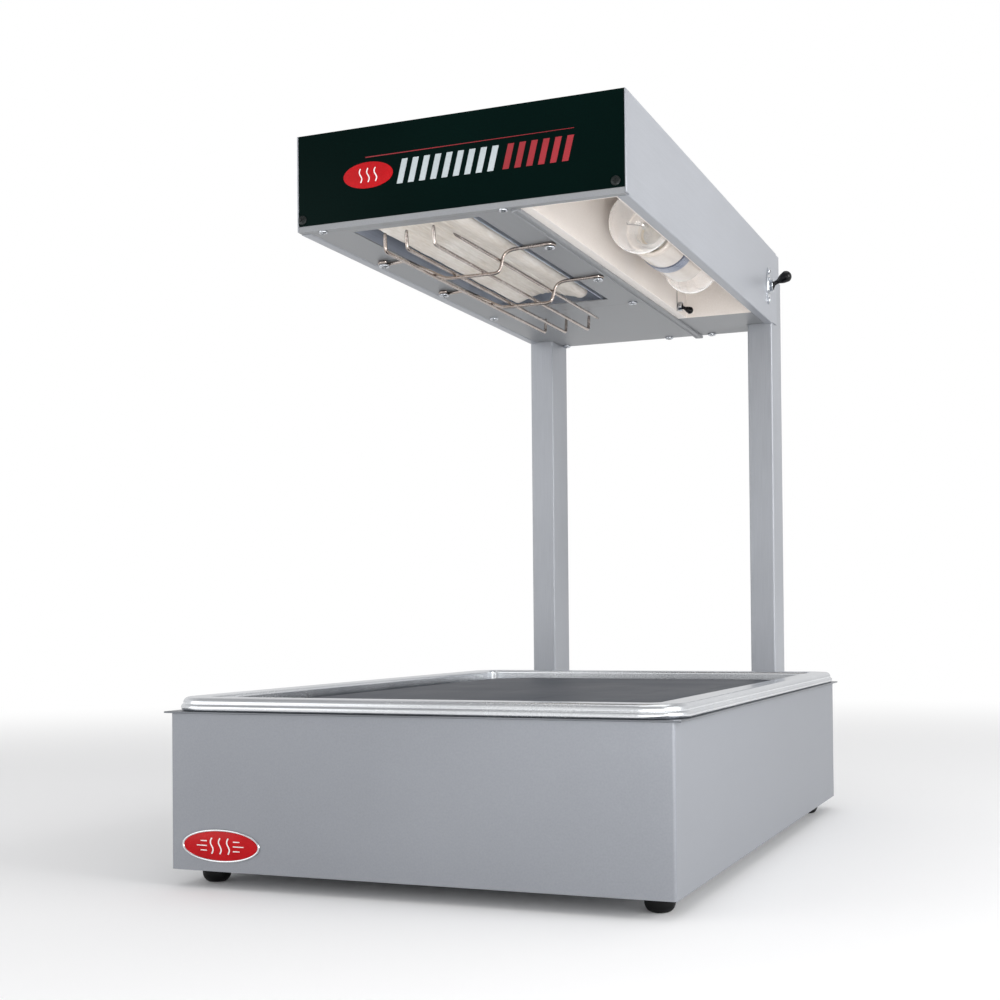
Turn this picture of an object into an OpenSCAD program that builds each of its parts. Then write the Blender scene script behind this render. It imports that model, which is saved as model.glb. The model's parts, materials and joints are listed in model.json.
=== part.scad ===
// Countertop food warmer with an overhead ceramic heater and two display lamps.
// The frame is centred on the whole warmer: +X is to the right of the person facing it,
// +Y is to the rear, and Z = 0 is the counter that the rubber feet stand on.

/* [Base] */
// Width of the sheet-metal base box
base_w = 361; // [340:1:400]
// Depth of the base box, front wall to rear wall
base_d = 562; // [540:1:600]
// Height of the base box without its feet
base_h = 108; // [95:1:130]
// Thickness of the sheet metal
sheet = 1.2; // [1:0.1:1.5]
// How far the deck plate stands out past each side wall
deck_overhang = 4.5; // [2:0.5:8]
// Height of the rubber feet
foot_h = 12; // [8:1:20]
// Diameter of a rubber foot at its top
foot_dia = 20; // [18:1:30]

/* [Food pan] */
// Height of the pan's rolled rim above the deck
rim_h = 9.5; // [7:0.5:14]
// Width of the rolled rim, seen from above
rim_w = 21.5; // [18:0.5:24]
// Outer corner radius of the rim
rim_corner = 28; // [28:1:45]
// Depth of the pan from the deck down to its floor
pan_depth = 58; // [30:1:70]
// Thickness of the pan's steel
pan_wall = 1; // [0.8:0.1:1.5]
// Width of the lift-out insert plate
insert_w = 294; // [260:1:300]
// Depth of the lift-out insert plate
insert_d = 490; // [440:1:500]

/* [Posts] */
// Width of a post, side to side
post_w = 24; // [20:1:30]
// Depth of a post, front to rear
post_d = 44; // [36:1:44]
// Height of the post foot above the counter
post_foot_z = 18; // [14:1:40]

/* [Head] */
// Width of the overhead head
head_w = 254; // [250:1:260]
// Depth of the head, fascia to rear cover
head_d = 511; // [509:1:513]
// Height of the head
head_h = 71.5; // [68:0.5:80]
// Height of the head's underside above the counter
head_z = 469.5; // [440:0.5:520]
// Distance from the base's front wall back to the fascia
head_setback = 86; // [84:1:88]

/* [Heater] */
// Width of the heater window
window_w = 101; // [90:1:110]
// Front edge to rear edge of the heater window
window_d = 296; // [280:1:302]
// Length of the ceramic emitter
emitter_d = 291; // [284:1:294]
// Diameter of the guard's wire
wire_dia = 3; // [2:0.5:4]

/* [Lamps] */
// Diameter of a lamp bulb's globe
globe_dia = 49; // [44:1:50]
// Distance from the middle bracket to the centre of each globe
globe_reach = 77; // [74:1:82]
// Outer diameter of a porcelain lampholder
holder_dia = 42; // [38:1:43]

/* [Switches] */
// Tilt of a switch lever to each side of level, in degrees
lever_tilt = 27; // [15:1:28]

/* [Hidden] */

$fn = 48;

// Base. Depths are counted from the base's front wall, which stands at front_y.
front_lip = 2;
gland_reach = 17;
head_rear = head_setback + head_d;
front_y = -(head_rear + gland_reach - front_lip) / 2;
base_top = foot_h + base_h;
bottom_flange = 34;
top_flange = 14;
foot_inset_x = 18.5;
foot_flat = 4.5;
foot_dome = 7;
stud_r = 2.1;
foot_front = 28;
foot_rear = base_d - 42;
deck_hole_inset = 15;

// Food pan
pan_front = 0.5 - front_lip;
pan_rear = base_d - 1;
pan_w = base_w + 2 * deck_overhang - 1;
pan_d = pan_rear - pan_front;
rim_z = base_top + sheet;
pan_floor = base_top - pan_depth;
insert_top = base_top + 4;
insert_sheet = 1.5;
insert_skirt = 14;
insert_corner = 40;

// Posts and head
post_wall = 1.6;
post_top = head_z + 46;
post_x = head_w / 2 - sheet - post_w;
bolt_r = 3;
bolt_heights = [foot_h + 34, foot_h + 84];
bracket_heights = [10, 36];
bracket_hole_r = 2.6;
side_end = 580;
fascia_t = 2;
rail_h = 4.5;
rail_d = 6;
hem_w = 8.5;
hem_t = 2.4;
hem_r = 1.2;
panel_front = head_setback + rail_d;
divider_x = 40.5;
divider_w = 7.5;
divider_drop = 1.6;
seam_x = divider_x + divider_w / 2;
divider_end = 602;
trough_x = 55.2;
trough_right = 118.3;
trough_rear = 505;
trough_h = 62.4;
trough_wall = 0.8;
panel_t = 1;
inner_half = head_w / 2 - sheet - 0.1;
panel_left = -118.3;
panel_joint = 420;
rail_screws = [-107, 36];
rear_screws = [-96, 15, 59.5];
rear_screw_y = 590;
side_screw = [-111, 427];
lone_screw = [30, 415];

// Heater
window_left = -88;
window_front = 100;
reflector_left = window_left - 2;
reflector_right = window_left + window_w - 5.5;
reflector_h = 43;
reflector_wall = 0.8;
reflector_reach = 20;
emitter_front = 104;
emitter_z = 3.8;
guard_drop = 19;
guard_rows = [188, 304];
guard_right = 34;
guard_left = -107;

// Lamps
lamp_x = 89;
lamp_y = 320;
lamp_z = 23.5;
band_w = 15;

// Switches
power_y = 540;
power_z = 31.4;
plate_screw_z = 13.75;
lamp_switch_y = 476;
lamp_switch_z = 5.4;

// ---- shared shapes -------------------------------------------------------------------

module at_base() translate([0, front_y, 0]) children();

module at_head() translate([0, front_y, head_z]) children();

module rounded_rect(w, d, r) {
    square([w - 2 * r, d], center = true);
    square([w, d - 2 * r], center = true);
    for (x = [-1, 1], y = [-1, 1])
        translate([x * (w / 2 - r), y * (d / 2 - r)]) circle(r);
}

module rounded_block(w, d, h, r) linear_extrude(h) rounded_rect(w, d, r);

module oval(w, h, steps = 72)
    polygon([for (i = [0:steps - 1])
        [w / 2 * cos(i * 360 / steps), h / 2 * sin(i * 360 / steps)]]);

// A box given by its two opposite corners.
module span(low, high) translate(low) cube(high - low);

// A round bar from one point to another.
module bar(a, b, r) {
    v = b - a;
    length = norm(v);
    translate(a)
        rotate([0, acos(v.z / length), atan2(v.y, v.x)])
            cylinder(r = r, h = length, $fn = 24);
}

function unit(v) = v / norm(v);

// The points of a path with every inner corner rounded off by a short curve.
function eased(p, reach, steps = 3) = [
    p[0],
    for (i = [1:len(p) - 2])
        let (
            back = p[i] + unit(p[i - 1] - p[i]) * min(reach, norm(p[i - 1] - p[i]) / 2.2),
            ahead = p[i] + unit(p[i + 1] - p[i]) * min(reach, norm(p[i + 1] - p[i]) / 2.2)
        )
        for (k = [0:steps])
            let (t = k / steps)
            (1 - t) * (1 - t) * back + 2 * t * (1 - t) * p[i] + t * t * ahead,
    p[len(p) - 1]
];

function heading(p, i) = unit(
    (i > 0 ? unit(p[i] - p[i - 1]) : [0, 0, 0])
    + (i < len(p) - 1 ? unit(p[i + 1] - p[i]) : [0, 0, 0]));

function square_to(n, t) = unit(n - (n * t) * t);

// A bent wire with rounded corners: rings of points carried along the path.
module wire(corners, r, reach = 4, sides = 8) {
    p = eased(corners, reach);
    last = len(p) - 1;
    start = abs(heading(p, 0).z) > 0.9 ? [1, 0, 0] : [0, 0, 1];
    sideways = [for (i = 0, n = square_to(start, heading(p, 0)); i <= last;
        i = i + 1, n = i <= last ? square_to(n, heading(p, i)) : n) n];
    rings = [for (i = [0:last], k = [0:sides - 1])
        let (a = k * 360 / sides, n = sideways[i])
        p[i] + r * (cos(a) * n + sin(a) * cross(heading(p, i), n))];
    skin = [for (i = [0:last - 1], k = [0:sides - 1])
        let (next = (k + 1) % sides, low = i * sides, high = low + sides)
        each [[low + k, high + k, high + next], [low + k, high + next, low + next]]];
    caps = [[for (k = [0:sides - 1]) k],
        [for (k = [sides - 1:-1:0]) last * sides + k]];
    polyhedron(rings, concat(skin, caps));
}

// A domed screw head facing down, its seat at z = 0.
module screw_below(head_r, head_t, shank_r, shank_len) {
    translate([0, 0, -head_t]) cylinder(r1 = head_r * 0.55, r2 = head_r, h = head_t);
    cylinder(r = shank_r, h = shank_len);
}

// ---- base ----------------------------------------------------------------------------

module base_shell() color("#9a9da3") at_base() difference() {
    translate([0, base_d / 2, foot_h]) rounded_block(base_w, base_d, base_h, 2);
    translate([0, base_d / 2, foot_h + sheet])
        rounded_block(base_w - 2 * sheet, base_d - 2 * sheet, base_h - 2 * sheet, 1);
    translate([0, base_d / 2, foot_h - 1])
        rounded_block(base_w - 2 * bottom_flange, base_d - 2 * bottom_flange, 10, 12);
    translate([0, base_d / 2, base_top - 10])
        rounded_block(base_w - 2 * top_flange, base_d - 2 * top_flange, 20, 10);
    for (s = [-1, 1], z = bolt_heights)
        translate([s * (post_x + post_w / 2), base_d + 5, z])
            rotate([90, 0, 0]) cylinder(r = bolt_r + 0.3, h = 20);
    for (x = [-1, 1], y = [foot_front, foot_rear])
        translate([x * (base_w / 2 - foot_inset_x), y, foot_h - 1])
            cylinder(r = 2.4, h = 5);
}

module base_deck() color("#8b8e94") at_base() difference() {
    span([-base_w / 2 - deck_overhang, -front_lip, base_top],
        [base_w / 2 + deck_overhang, base_d, base_top + sheet]);
    translate([0, base_d / 2, base_top - 1])
        rounded_block(base_w - 2 * deck_hole_inset, base_d - 2 * deck_hole_inset, 5, 8);
}

module base_bottom_plate() color("#77797d") at_base() difference() {
    translate([0, base_d / 2, foot_h + sheet])
        rounded_block(base_w - 2 * sheet - 2, base_d - 2 * sheet - 2, 1, 2);
    for (x = [-1, 1], y = [foot_front, foot_rear])
        translate([x * (base_w / 2 - foot_inset_x), y, foot_h])
            cylinder(r = 2.4, h = 5);
    for (x = [-2:2], y = [0:5])
        translate([x * 40, 130 + y * 60, foot_h]) rounded_block(8, 30, 5, 3.9);
}

module at_feet()
    for (x = [-1, 1], y = [foot_front, foot_rear])
        translate([x * (base_w / 2 - foot_inset_x), front_y + y, 0]) children();

// A domed foot, moulded round the head of its stud.
module rubber_feet() color("#17181a") at_feet() rotate_extrude()
    polygon(concat([[0, 0]],
        [for (a = [0:10:90]) [foot_flat + (foot_dia / 2 - foot_flat) * sin(a),
            foot_dome * (1 - cos(a))]],
        [[foot_dia / 2, foot_h], [stud_r, foot_h], [stud_r, 4], [0, 4]]));

module foot_studs() color("#b9bcc0") at_feet() {
    translate([0, 0, 4]) cylinder(r = stud_r, h = foot_h + 2);
    translate([0, 0, foot_h + sheet + 1]) cylinder(r = 4.2, h = 3, $fn = 6);
}

badge_w = 62;
badge_h = 23;
badge_x = -140.3;
badge_z = foot_h + 17.8;

module on_badge() translate([badge_x, front_y, badge_z]) rotate([90, 0, 0]) children();

module badge_bezel() color("#d5d7da") on_badge() linear_extrude(1.4) difference() {
    oval(badge_w, badge_h);
    oval(badge_w - 3.4, badge_h - 3.4);
}

module badge_plate() color("#c2161d") on_badge()
    linear_extrude(1.7) oval(badge_w - 3.4, badge_h - 3.4);

// ---- food pan ------------------------------------------------------------------------

function arc(centre, r, from, to, steps) = [for (i = [0:steps])
    let (a = from + (to - from) * i / steps) centre + r * [cos(a), sin(a)]];

// The pan's section, as [distance in from the rim's outer edge, height]: up the inside of
// the wall, over the dome, round the bead on the outer edge, and down the outside.
function pan_section() =
    let (
        bead = 2.5,
        dome = 4,
        dome_mid = [bead + 3.1, rim_h - dome],
        fillet = 5,
        fillet_mid = [rim_w + fillet, pan_floor - rim_z + fillet]
    )
    concat(
        arc(fillet_mid, fillet, 270, 180, 3),
        [[rim_w, rim_h - 2], [rim_w - 2, rim_h]],
        arc(dome_mid, dome, 90, 189, 5),
        arc([bead, bead], bead, 110, 447, 10),
        arc(dome_mid, dome - pan_wall, 190, 90, 4),
        [[rim_w - 2.5, rim_h - pan_wall], [rim_w - pan_wall, rim_h - 2.5]],
        arc(fillet_mid, fillet + pan_wall, 180, 270, 3));

// A section carried round a rectangle with rounded corners, its middle closed flat.
module tray(section, w, d, r, corner_steps = 7) {
    count = len(section);
    stations = [for (c = [0:3], k = [0:corner_steps]) [c, c * 90 + k * 90 / corner_steps]];
    side = [[1, 1], [-1, 1], [-1, -1], [1, -1]];
    points = [for (s = stations, p = section)
        [side[s[0]].x * (w / 2 - r) + (r - p.x) * cos(s[1]),
            side[s[0]].y * (d / 2 - r) + (r - p.x) * sin(s[1]), p.y]];
    rounds = len(stations);
    skin = [for (i = [0:rounds - 1], k = [0:count - 2])
        let (low = i * count + k, high = ((i + 1) % rounds) * count + k)
        each [[low, high + 1, low + 1], [low, high, high + 1]]];
    floors = [[for (i = [rounds - 1:-1:0]) i * count],
        [for (i = [0:rounds - 1]) i * count + count - 1]];
    polyhedron(points, concat(skin, floors));
}

module food_pan() color("#d9dcdf") at_base()
    translate([0, (pan_front + pan_rear) / 2, rim_z]) tray(pan_section(), pan_w, pan_d, rim_corner);

module pan_insert() color("#596170") at_base() translate([0, base_d / 2 - 2, 0]) {
    difference() {
        translate([0, 0, insert_top - insert_skirt])
            rounded_block(insert_w, insert_d, insert_skirt, insert_corner);
        translate([0, 0, insert_top - insert_skirt - 1])
            rounded_block(insert_w - 2 * insert_sheet, insert_d - 2 * insert_sheet,
                insert_skirt - insert_sheet + 1, insert_corner - insert_sheet);
    }
    for (x = [-1, 1], y = [-1, 1])
        translate([x * (insert_w / 2 - 30), y * (insert_d / 2 - 30), pan_floor])
            cylinder(r = 6, h = insert_top - insert_sheet - pan_floor);
}

// ---- posts ---------------------------------------------------------------------------

module post(s) at_base() difference() {
    translate([s * (post_x + post_w / 2), base_d + post_d / 2, post_foot_z])
        rounded_block(post_w, post_d, post_top - post_foot_z, 1.5);
    translate([s * (post_x + post_w / 2), base_d + post_d / 2, post_foot_z - 1])
        linear_extrude(post_top - post_foot_z + 2)
            square([post_w - 2 * post_wall, post_d - 2 * post_wall], center = true);
    for (z = bolt_heights)
        translate([s * (post_x + post_w / 2), base_d + post_d + 5, z])
            rotate([90, 0, 0]) cylinder(r = bolt_r + 0.3, h = post_d + 10);
    for (z = bracket_heights)
        translate([s * (post_x + post_w / 2), base_d + 5, head_z + z])
            rotate([90, 0, 0]) cylinder(r = bracket_hole_r, h = 10);
}

module left_post() color("#a4a7ac") post(-1);

module right_post() color("#a4a7ac") post(1);

module post_plugs() color("#1c1d1f") at_base() for (s = [-1, 1])
    translate([s * (post_x + post_w / 2), base_d + post_d / 2, post_foot_z - 2]) {
        rounded_block(post_w, post_d, 2, 1.5);
        linear_extrude(12)
            square([post_w - 2 * post_wall, post_d - 2 * post_wall], center = true);
    }

module post_backing_plates() color("#84878c") at_base() for (s = [-1, 1])
    difference() {
        span([s * (post_x + post_w / 2) - 20, base_d - sheet - 3, foot_h + 18],
            [s * (post_x + post_w / 2) + 20, base_d - sheet, foot_h + base_h - 10]);
        for (z = bolt_heights)
            translate([s * (post_x + post_w / 2), base_d + 5, z])
                rotate([90, 0, 0]) cylinder(r = bolt_r + 0.3, h = 20);
    }

module at_post_bolts() at_base()
    for (s = [-1, 1], z = bolt_heights)
        translate([s * (post_x + post_w / 2), base_d + post_d, z]) rotate([90, 0, 0])
            children();

bolt_len = post_d + sheet + 3 + 7;

module post_bolts() color("#c4c7cb") at_post_bolts() {
    translate([0, 0, -3]) cylinder(r1 = 3.2, r2 = 6, h = 3);
    cylinder(r = bolt_r, h = bolt_len);
}

module post_nuts() color("#b0b3b8") at_post_bolts()
    translate([0, 0, post_d + sheet + 3]) difference() {
        cylinder(r = 5.8, h = 5, $fn = 6);
        translate([0, 0, -1]) cylinder(r = bolt_r + 0.05, h = 7);
    }

// ---- head shell ----------------------------------------------------------------------

module head_brackets() color("#84878c") at_head() for (s = [-1, 1]) difference() {
    union() {
        span([s > 0 ? post_x - 8 : -post_x - post_w, base_d - 2.5, 4],
            [s > 0 ? post_x + post_w : -post_x + 8, base_d, 44]);
        span([s > 0 ? post_x + post_w - 2.5 : -post_x - post_w, base_d - 34, 4],
            [s > 0 ? post_x + post_w : -post_x - post_w + 2.5, base_d, 15]);
    }
    for (z = bracket_heights) translate([s * (post_x + post_w / 2), base_d + 5, z])
        rotate([90, 0, 0]) cylinder(r = bracket_hole_r, h = 20);
}

module head_bracket_screws() color("#b0b3b8") at_head()
    for (s = [-1, 1], z = bracket_heights)
    translate([s * (post_x + post_w / 2), base_d - 2.5, z]) rotate([90, 0, 0]) {
        cylinder(r = 4, h = 3, $fn = 6);
        translate([0, 0, -6]) cylinder(r = 2.4, h = 6);
    }

module head_housing() color("#bcbfc5") at_head() {
    half = head_w / 2;
    skin_front = head_setback + fascia_t;
    difference() {
        span([-half, head_setback, hem_r - 0.4], [half, side_end, head_h]);
        span([-half + sheet, head_setback - 1, -1], [half - sheet, side_end + 1,
            head_h - sheet]);
        span([-half + sheet, head_setback - 1, 0], [half - sheet, skin_front, head_h + 1]);
        translate([0, power_y, power_z]) rotate([0, 90, 0]) cylinder(r = 6.3, h = 200);
        for (t = [-1, 1]) translate([0, power_y, power_z + t * plate_screw_z])
            rotate([0, 90, 0]) cylinder(r = 1.6, h = 200);
    }
    for (s = [0, 1]) mirror([s, 0, 0]) {
        span([half - hem_w, panel_front, panel_t], [half - hem_r, base_d - 36, hem_t]);
        span([half - hem_w + hem_r, panel_front, -0.4], [half - hem_r, base_d, panel_t]);
        for (x = [half - hem_w + hem_r, half - hem_r])
            translate([x, panel_front, hem_r - 0.4]) rotate([-90, 0, 0])
                cylinder(r = hem_r, h = base_d - panel_front);
    }
}

module front_fascia() color("#01120f") at_head() difference() {
    span([-inner_half, head_setback, rail_h], [inner_half, head_setback + fascia_t, head_h]);
    for (x = [-122.3, 119.4]) translate([x, head_setback - 1, 9])
        rotate([-90, 0, 0]) cylinder(r = 1.8, h = 10);
}

module fascia_screws() color("#0d1716") at_head()
    for (x = [-122.3, 119.4]) translate([x, head_setback, 9]) rotate([90, 0, 0]) {
        cylinder(r1 = 3.4, r2 = 2, h = 1.2);
        translate([0, 0, -5.5]) cylinder(r = 1.6, h = 5.5);
    }

module front_rail() color("#b4b7bc") at_head() difference() {
    span([-inner_half, head_setback, 0], [inner_half, panel_front, rail_h]);
    span([-head_w, head_setback + fascia_t, 1], [head_w, panel_front + 1, rail_h - 1]);
    for (x = rail_screws) translate([x, panel_front - rail_d / 2, -1])
        cylinder(r = 1.8, h = rail_h);
}

module heater_panel() color("#97999c") at_head() difference() {
    span([panel_left, panel_front, 0], [seam_x, panel_joint, panel_t]);
    span([window_left, window_front, -1], [window_left + window_w,
        window_front + window_d, 5]);
    for (y = guard_rows, x = [guard_left, guard_right])
        translate([x, y, -1]) cylinder(r = 1.8, h = 5);
    translate([lone_screw.x, lone_screw.y, -1]) cylinder(r = 1.8, h = 5);
}

module rear_bottom_panel() color("#97999c") at_head() difference() {
    union() {
        span([panel_left, panel_joint, 0], [seam_x, head_rear - 2, panel_t]);
        span([divider_x, trough_rear, 0], [trough_right, head_rear - 2, panel_t]);
    }
    for (s = [-1, 1]) span([s > 0 ? post_x - 0.5 : -140, base_d - 3, -1],
        [s > 0 ? 140 : -post_x + 0.5, head_rear + 10, 5]);
    for (x = rear_screws) translate([x, rear_screw_y, -1]) cylinder(r = 1.8, h = 5);
    translate([side_screw.x, side_screw.y, -1]) cylinder(r = 1.8, h = 5);
}

module panel_screws() color("#c9ccd0") at_head() {
    for (x = rear_screws) translate([x, rear_screw_y, 0]) screw_below(4.2, 2.4, 1.6, 6);
    for (p = [side_screw, lone_screw]) translate([p.x, p.y, 0])
        screw_below(4.2, 2.4, 1.6, 6);
    for (x = rail_screws) translate([x, panel_front - rail_d / 2, 0])
        screw_below(3.4, 2.2, 1.6, rail_h - 1.2);
}

module divider_rail() color("#9b9ea2") at_head() {
    edge_r = 1.1;
    span([divider_x, panel_front, -divider_drop],
        [divider_x + divider_w, divider_end - divider_w / 2, 0]);
    translate([seam_x, divider_end - divider_w / 2, -divider_drop])
        cylinder(r = divider_w / 2, h = divider_drop);
    for (x = [divider_x + edge_r, divider_x + divider_w - edge_r])
        translate([x, panel_front, -divider_drop]) rotate([-90, 0, 0])
            cylinder(r = edge_r, h = divider_end - divider_w - panel_front);
}

module rear_cover() color("#b4b7bc") at_head() difference() {
    lower = post_x - 0.5;
    upper = head_w / 2 - 1;
    post_head = post_top - head_z;
    union() {
        span([-lower, side_end, panel_t + 0.2], [lower, head_rear, post_head + 5]);
        span([-upper, side_end, post_head], [upper, head_rear, head_h]);
    }
    span([-lower + sheet, side_end - 5, -5], [lower - sheet, head_rear - sheet,
        post_head + 10]);
    span([-upper + sheet, side_end - 5, post_head + sheet], [upper - sheet,
        head_rear - sheet, head_h - sheet]);
    translate([gland_x, head_rear + 5, gland_z]) rotate([90, 0, 0])
        cylinder(r = 8.2, h = 20);
    for (x = [-80, -40, 0, 40, 80], z = [12, 20]) translate([x, head_rear + 5, z + 34])
        rotate([90, 0, 0]) linear_extrude(20) rounded_rect(24, 3, 1.4);
    for (x = [-112, 112]) translate([x, head_rear + 5, 59])
        rotate([90, 0, 0]) cylinder(r = 1.8, h = 20);
}

module rear_cover_screws() color("#c9ccd0") at_head() for (x = [-112, 112])
    translate([x, head_rear, 59]) rotate([-90, 0, 0]) {
        cylinder(r1 = 3.6, r2 = 2.1, h = 2);
        translate([0, 0, -8]) cylinder(r = 1.6, h = 8);
    }

// ---- heater --------------------------------------------------------------------------

module element_reflector() color("#b9c0cc") at_head() difference() {
    rear = window_front + window_d + reflector_reach;
    span([reflector_left, panel_front + 3, panel_t], [reflector_right, rear, reflector_h]);
    span([reflector_left + reflector_wall, panel_front + 3 + reflector_wall, -1],
        [reflector_right - reflector_wall, rear - reflector_wall,
            reflector_h - reflector_wall]);
    for (x = stud_x, y = stud_y) translate([x, y, reflector_h - 3])
        cylinder(r = 2.4, h = 6);
}

stud_x = [-58, -26];
stud_y = [emitter_front + 40, emitter_front + emitter_d - 40];
stud_z = emitter_z + 14;

// Section across the emitter: an arch with stepped bands, its hollow side down.
module emitter_section() {
    polygon([[-75, 0], [-63, 3.7], [-62, 4.7], [-51, 7.3], [-50, 6.3], [-48, 7.4],
        [-38, 7.9], [-36.5, 6.8], [-31, 4.9], [-23, 2.6], [-16.5, 1.5], [-15.5, 0.3],
        [-11, 0], [-7.5, 1.2], [-5.5, 4], [-6, 8], [-14, 12.5], [-28, 16.5],
        [-42, 17.8], [-56, 16], [-68, 11], [-76, 4]]);
    for (p = [[-56.5, 7.4], [-43.5, 8.9], [-27, 5]]) translate(p) circle(2, $fn = 20);
}

module ceramic_emitter() color("#e8e4de") at_head()
    translate([0, emitter_front + emitter_d, emitter_z]) rotate([90, 0, 0])
        linear_extrude(emitter_d) emitter_section();

module emitter_studs() color("#a9a39a") at_head() for (x = stud_x, y = stud_y)
    translate([x, y, stud_z]) {
        cylinder(r = 2, h = reflector_h - stud_z + 4);
        translate([0, 0, reflector_h - stud_z]) cylinder(r = 4.2, h = 3, $fn = 6);
    }

module insulation_blanket() color("#d8cfae") at_head() difference() {
    span([reflector_left + 2, panel_front + 6, reflector_h + 0.5],
        [reflector_right - 2, window_front + window_d + 16, reflector_h + 18]);
    for (x = stud_x, y = stud_y) translate([x, y, reflector_h])
        cylinder(r = 6, h = 6);
}

// One guard crossbar: flat against the panel at both ends and dropped in the middle.
module crossbar(y) {
    r = wire_dia / 2;
    wire([[guard_left + 4.2, y - 3.4, -r], [guard_left - 1, y - 4.6, -r],
        [guard_left - 4.6, y, -r], [guard_left - 1, y + 4.6, -r],
        [guard_left + 8, y + 2, -r], [guard_left + 20, y, -r],
        [guard_left + 54, y, -guard_drop], [-9.5, y, -guard_drop],
        [-6.5, y, -guard_drop + 3], [-4.5, y, -6], [0.5, y, -2.2], [8, y, -r],
        [guard_right - 8, y - 2, -r], [guard_right + 1, y - 4.6, -r],
        [guard_right + 4.6, y, -r], [guard_right + 1, y + 4.6, -r],
        [guard_right - 4.2, y + 3.4, -r]], r);
}

module guard_crossbars() color("#b39c8c") at_head()
    for (y = guard_rows) crossbar(y);

// The long wires lie on the crossbars, and their ends turn up towards the panel.
module guard_wires() color("#b39c8c") at_head() {
    r = wire_dia / 2;
    low = -guard_drop + wire_dia - 0.2;
    for (w = [[-63, 103, 438], [-45, 102, 445], [-21.5, 98, 442]])
        wire([[w[0], w[1] - 1, -2.5], [w[0], w[1], low + 2], [w[0], w[1] + 2, low],
            [w[0], w[2] - 2, low], [w[0], w[2], low + 2], [w[0], w[2] + 1, -2.5]], r);
    wire([[-7.8, 97, -9], [-7.8, 260, -9], [-7.8, 438, -9]], r);
}

module guard_screws() color("#d4d6d9") at_head()
    for (y = guard_rows, x = [guard_left, guard_right]) translate([x, y, 0]) {
        translate([0, 0, -wire_dia - 2.2]) cylinder(r1 = 2.6, r2 = 4.4, h = 2.2);
        translate([0, 0, -wire_dia]) cylinder(r = 1.6, h = wire_dia + 6);
    }

// ---- lamps ---------------------------------------------------------------------------

module lamp_trough() color("#d8d3cc") at_head() difference() {
    union() {
        span([trough_x, panel_front, 0], [trough_right, trough_rear, trough_h]);
        span([seam_x + 0.2, panel_front, 0], [trough_x + 0.1, trough_rear, trough_wall]);
    }
    span([trough_x + trough_wall, panel_front + trough_wall, -1],
        [trough_right - trough_wall, trough_rear - trough_wall, trough_h - trough_wall]);
    translate([trough_x - 1, lamp_switch_y, lamp_switch_z]) rotate([0, 90, 0])
        cylinder(r = 4.3, h = 3);
}

// Places its children on the lamps' axis, with +Z towards the globe: s = 1 is the front.
module on_lamp(s) at_head() translate([lamp_x, lamp_y, lamp_z])
    rotate([s > 0 ? 90 : -90, 0, 0]) children();

module lamp_bracket() color("#8f98a8") {
    on_lamp(1) translate([0, 0, -band_w / 2]) difference() {
        cylinder(r = holder_dia / 2 + 0.6, h = band_w);
        translate([0, 0, -1]) cylinder(r = holder_dia / 2 - 0.9, h = band_w + 2);
    }
    at_head() difference() {
        span([lamp_x - 10, lamp_y - band_w / 2, lamp_z],
            [lamp_x + 10, lamp_y + band_w / 2, trough_h - trough_wall]);
        translate([lamp_x, lamp_y + 20, lamp_z]) rotate([90, 0, 0])
            cylinder(r = holder_dia / 2, h = 40);
        span([lamp_x - 8, lamp_y - band_w, holder_dia / 2 + lamp_z + 4],
            [lamp_x + 8, lamp_y + band_w, trough_h - 4]);
    }
}

module lampholder(s) on_lamp(s) {
    r = holder_dia / 2;
    rotate_extrude() difference() {
        union() {
            translate([0, 0.4]) square([r - 1, 12]);
            translate([0, 8.5]) square([r, 41]);
        }
        polygon([[0, 11], [13.6, 11], [13.6, 34], [15.4, 42], [17.5, 52], [0, 52]]);
    }
}

module front_lampholder() color("#e6dfd6") lampholder(1);

module rear_lampholder() color("#e6dfd6") lampholder(-1);

// Outline of a bulb's glass around its axis, with the globe's centre at z = globe_reach.
module bulb_outline(shrink) {
    r = globe_dia / 2 - shrink;
    neck = 12.6 - shrink;
    rotate_extrude() intersection() {
        union() {
            translate([0, globe_reach]) circle(r, $fn = 64);
            translate([0, 34]) square([neck, globe_reach - 34]);
            polygon([[0, 48], [neck, 48], [r * 0.86, globe_reach - 12.2],
                [0, globe_reach]]);
        }
        translate([0, 34 + shrink]) square([60, 120]);
    }
}

module bulb_glass(s) on_lamp(s) difference() {
    bulb_outline(0);
    bulb_outline(0.9);
}

module front_bulb_glass() color("#eef2f4", 0.35) bulb_glass(1);

module rear_bulb_glass() color("#eef2f4", 0.35) bulb_glass(-1);

module bulb_bases() color("#c9b98e") for (s = [1, -1]) on_lamp(s) {
    translate([0, 0, 12]) cylinder(r1 = 4, r2 = 11.5, h = 5);
    translate([0, 0, 17]) cylinder(r = 12.6, h = 17);
}

module lamp_filaments() color("#d9d4c8") for (s = [1, -1]) on_lamp(s) {
    translate([0, 0, 35]) cylinder(r1 = 9, r2 = 3, h = 12);
    translate([0, 0, 46]) cylinder(r = 2.4, h = 16);
    for (x = [-1, 1]) bar([x * 1.6, 0, 60], [x * 11, 0, globe_reach - 1], 0.5);
    bar([-11.2, 0, globe_reach - 1], [11.2, 0, globe_reach - 1], 0.8);
}

// ---- switches ------------------------------------------------------------------------

power_pivot = head_w / 2 + 3.2;
lamp_pivot = trough_x + trough_wall + 2.2;

module at_power() at_head() translate([power_pivot, power_y, power_z]) children();

module at_lamp_switch() at_head()
    translate([lamp_pivot, lamp_switch_y, lamp_switch_z]) children();

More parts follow.
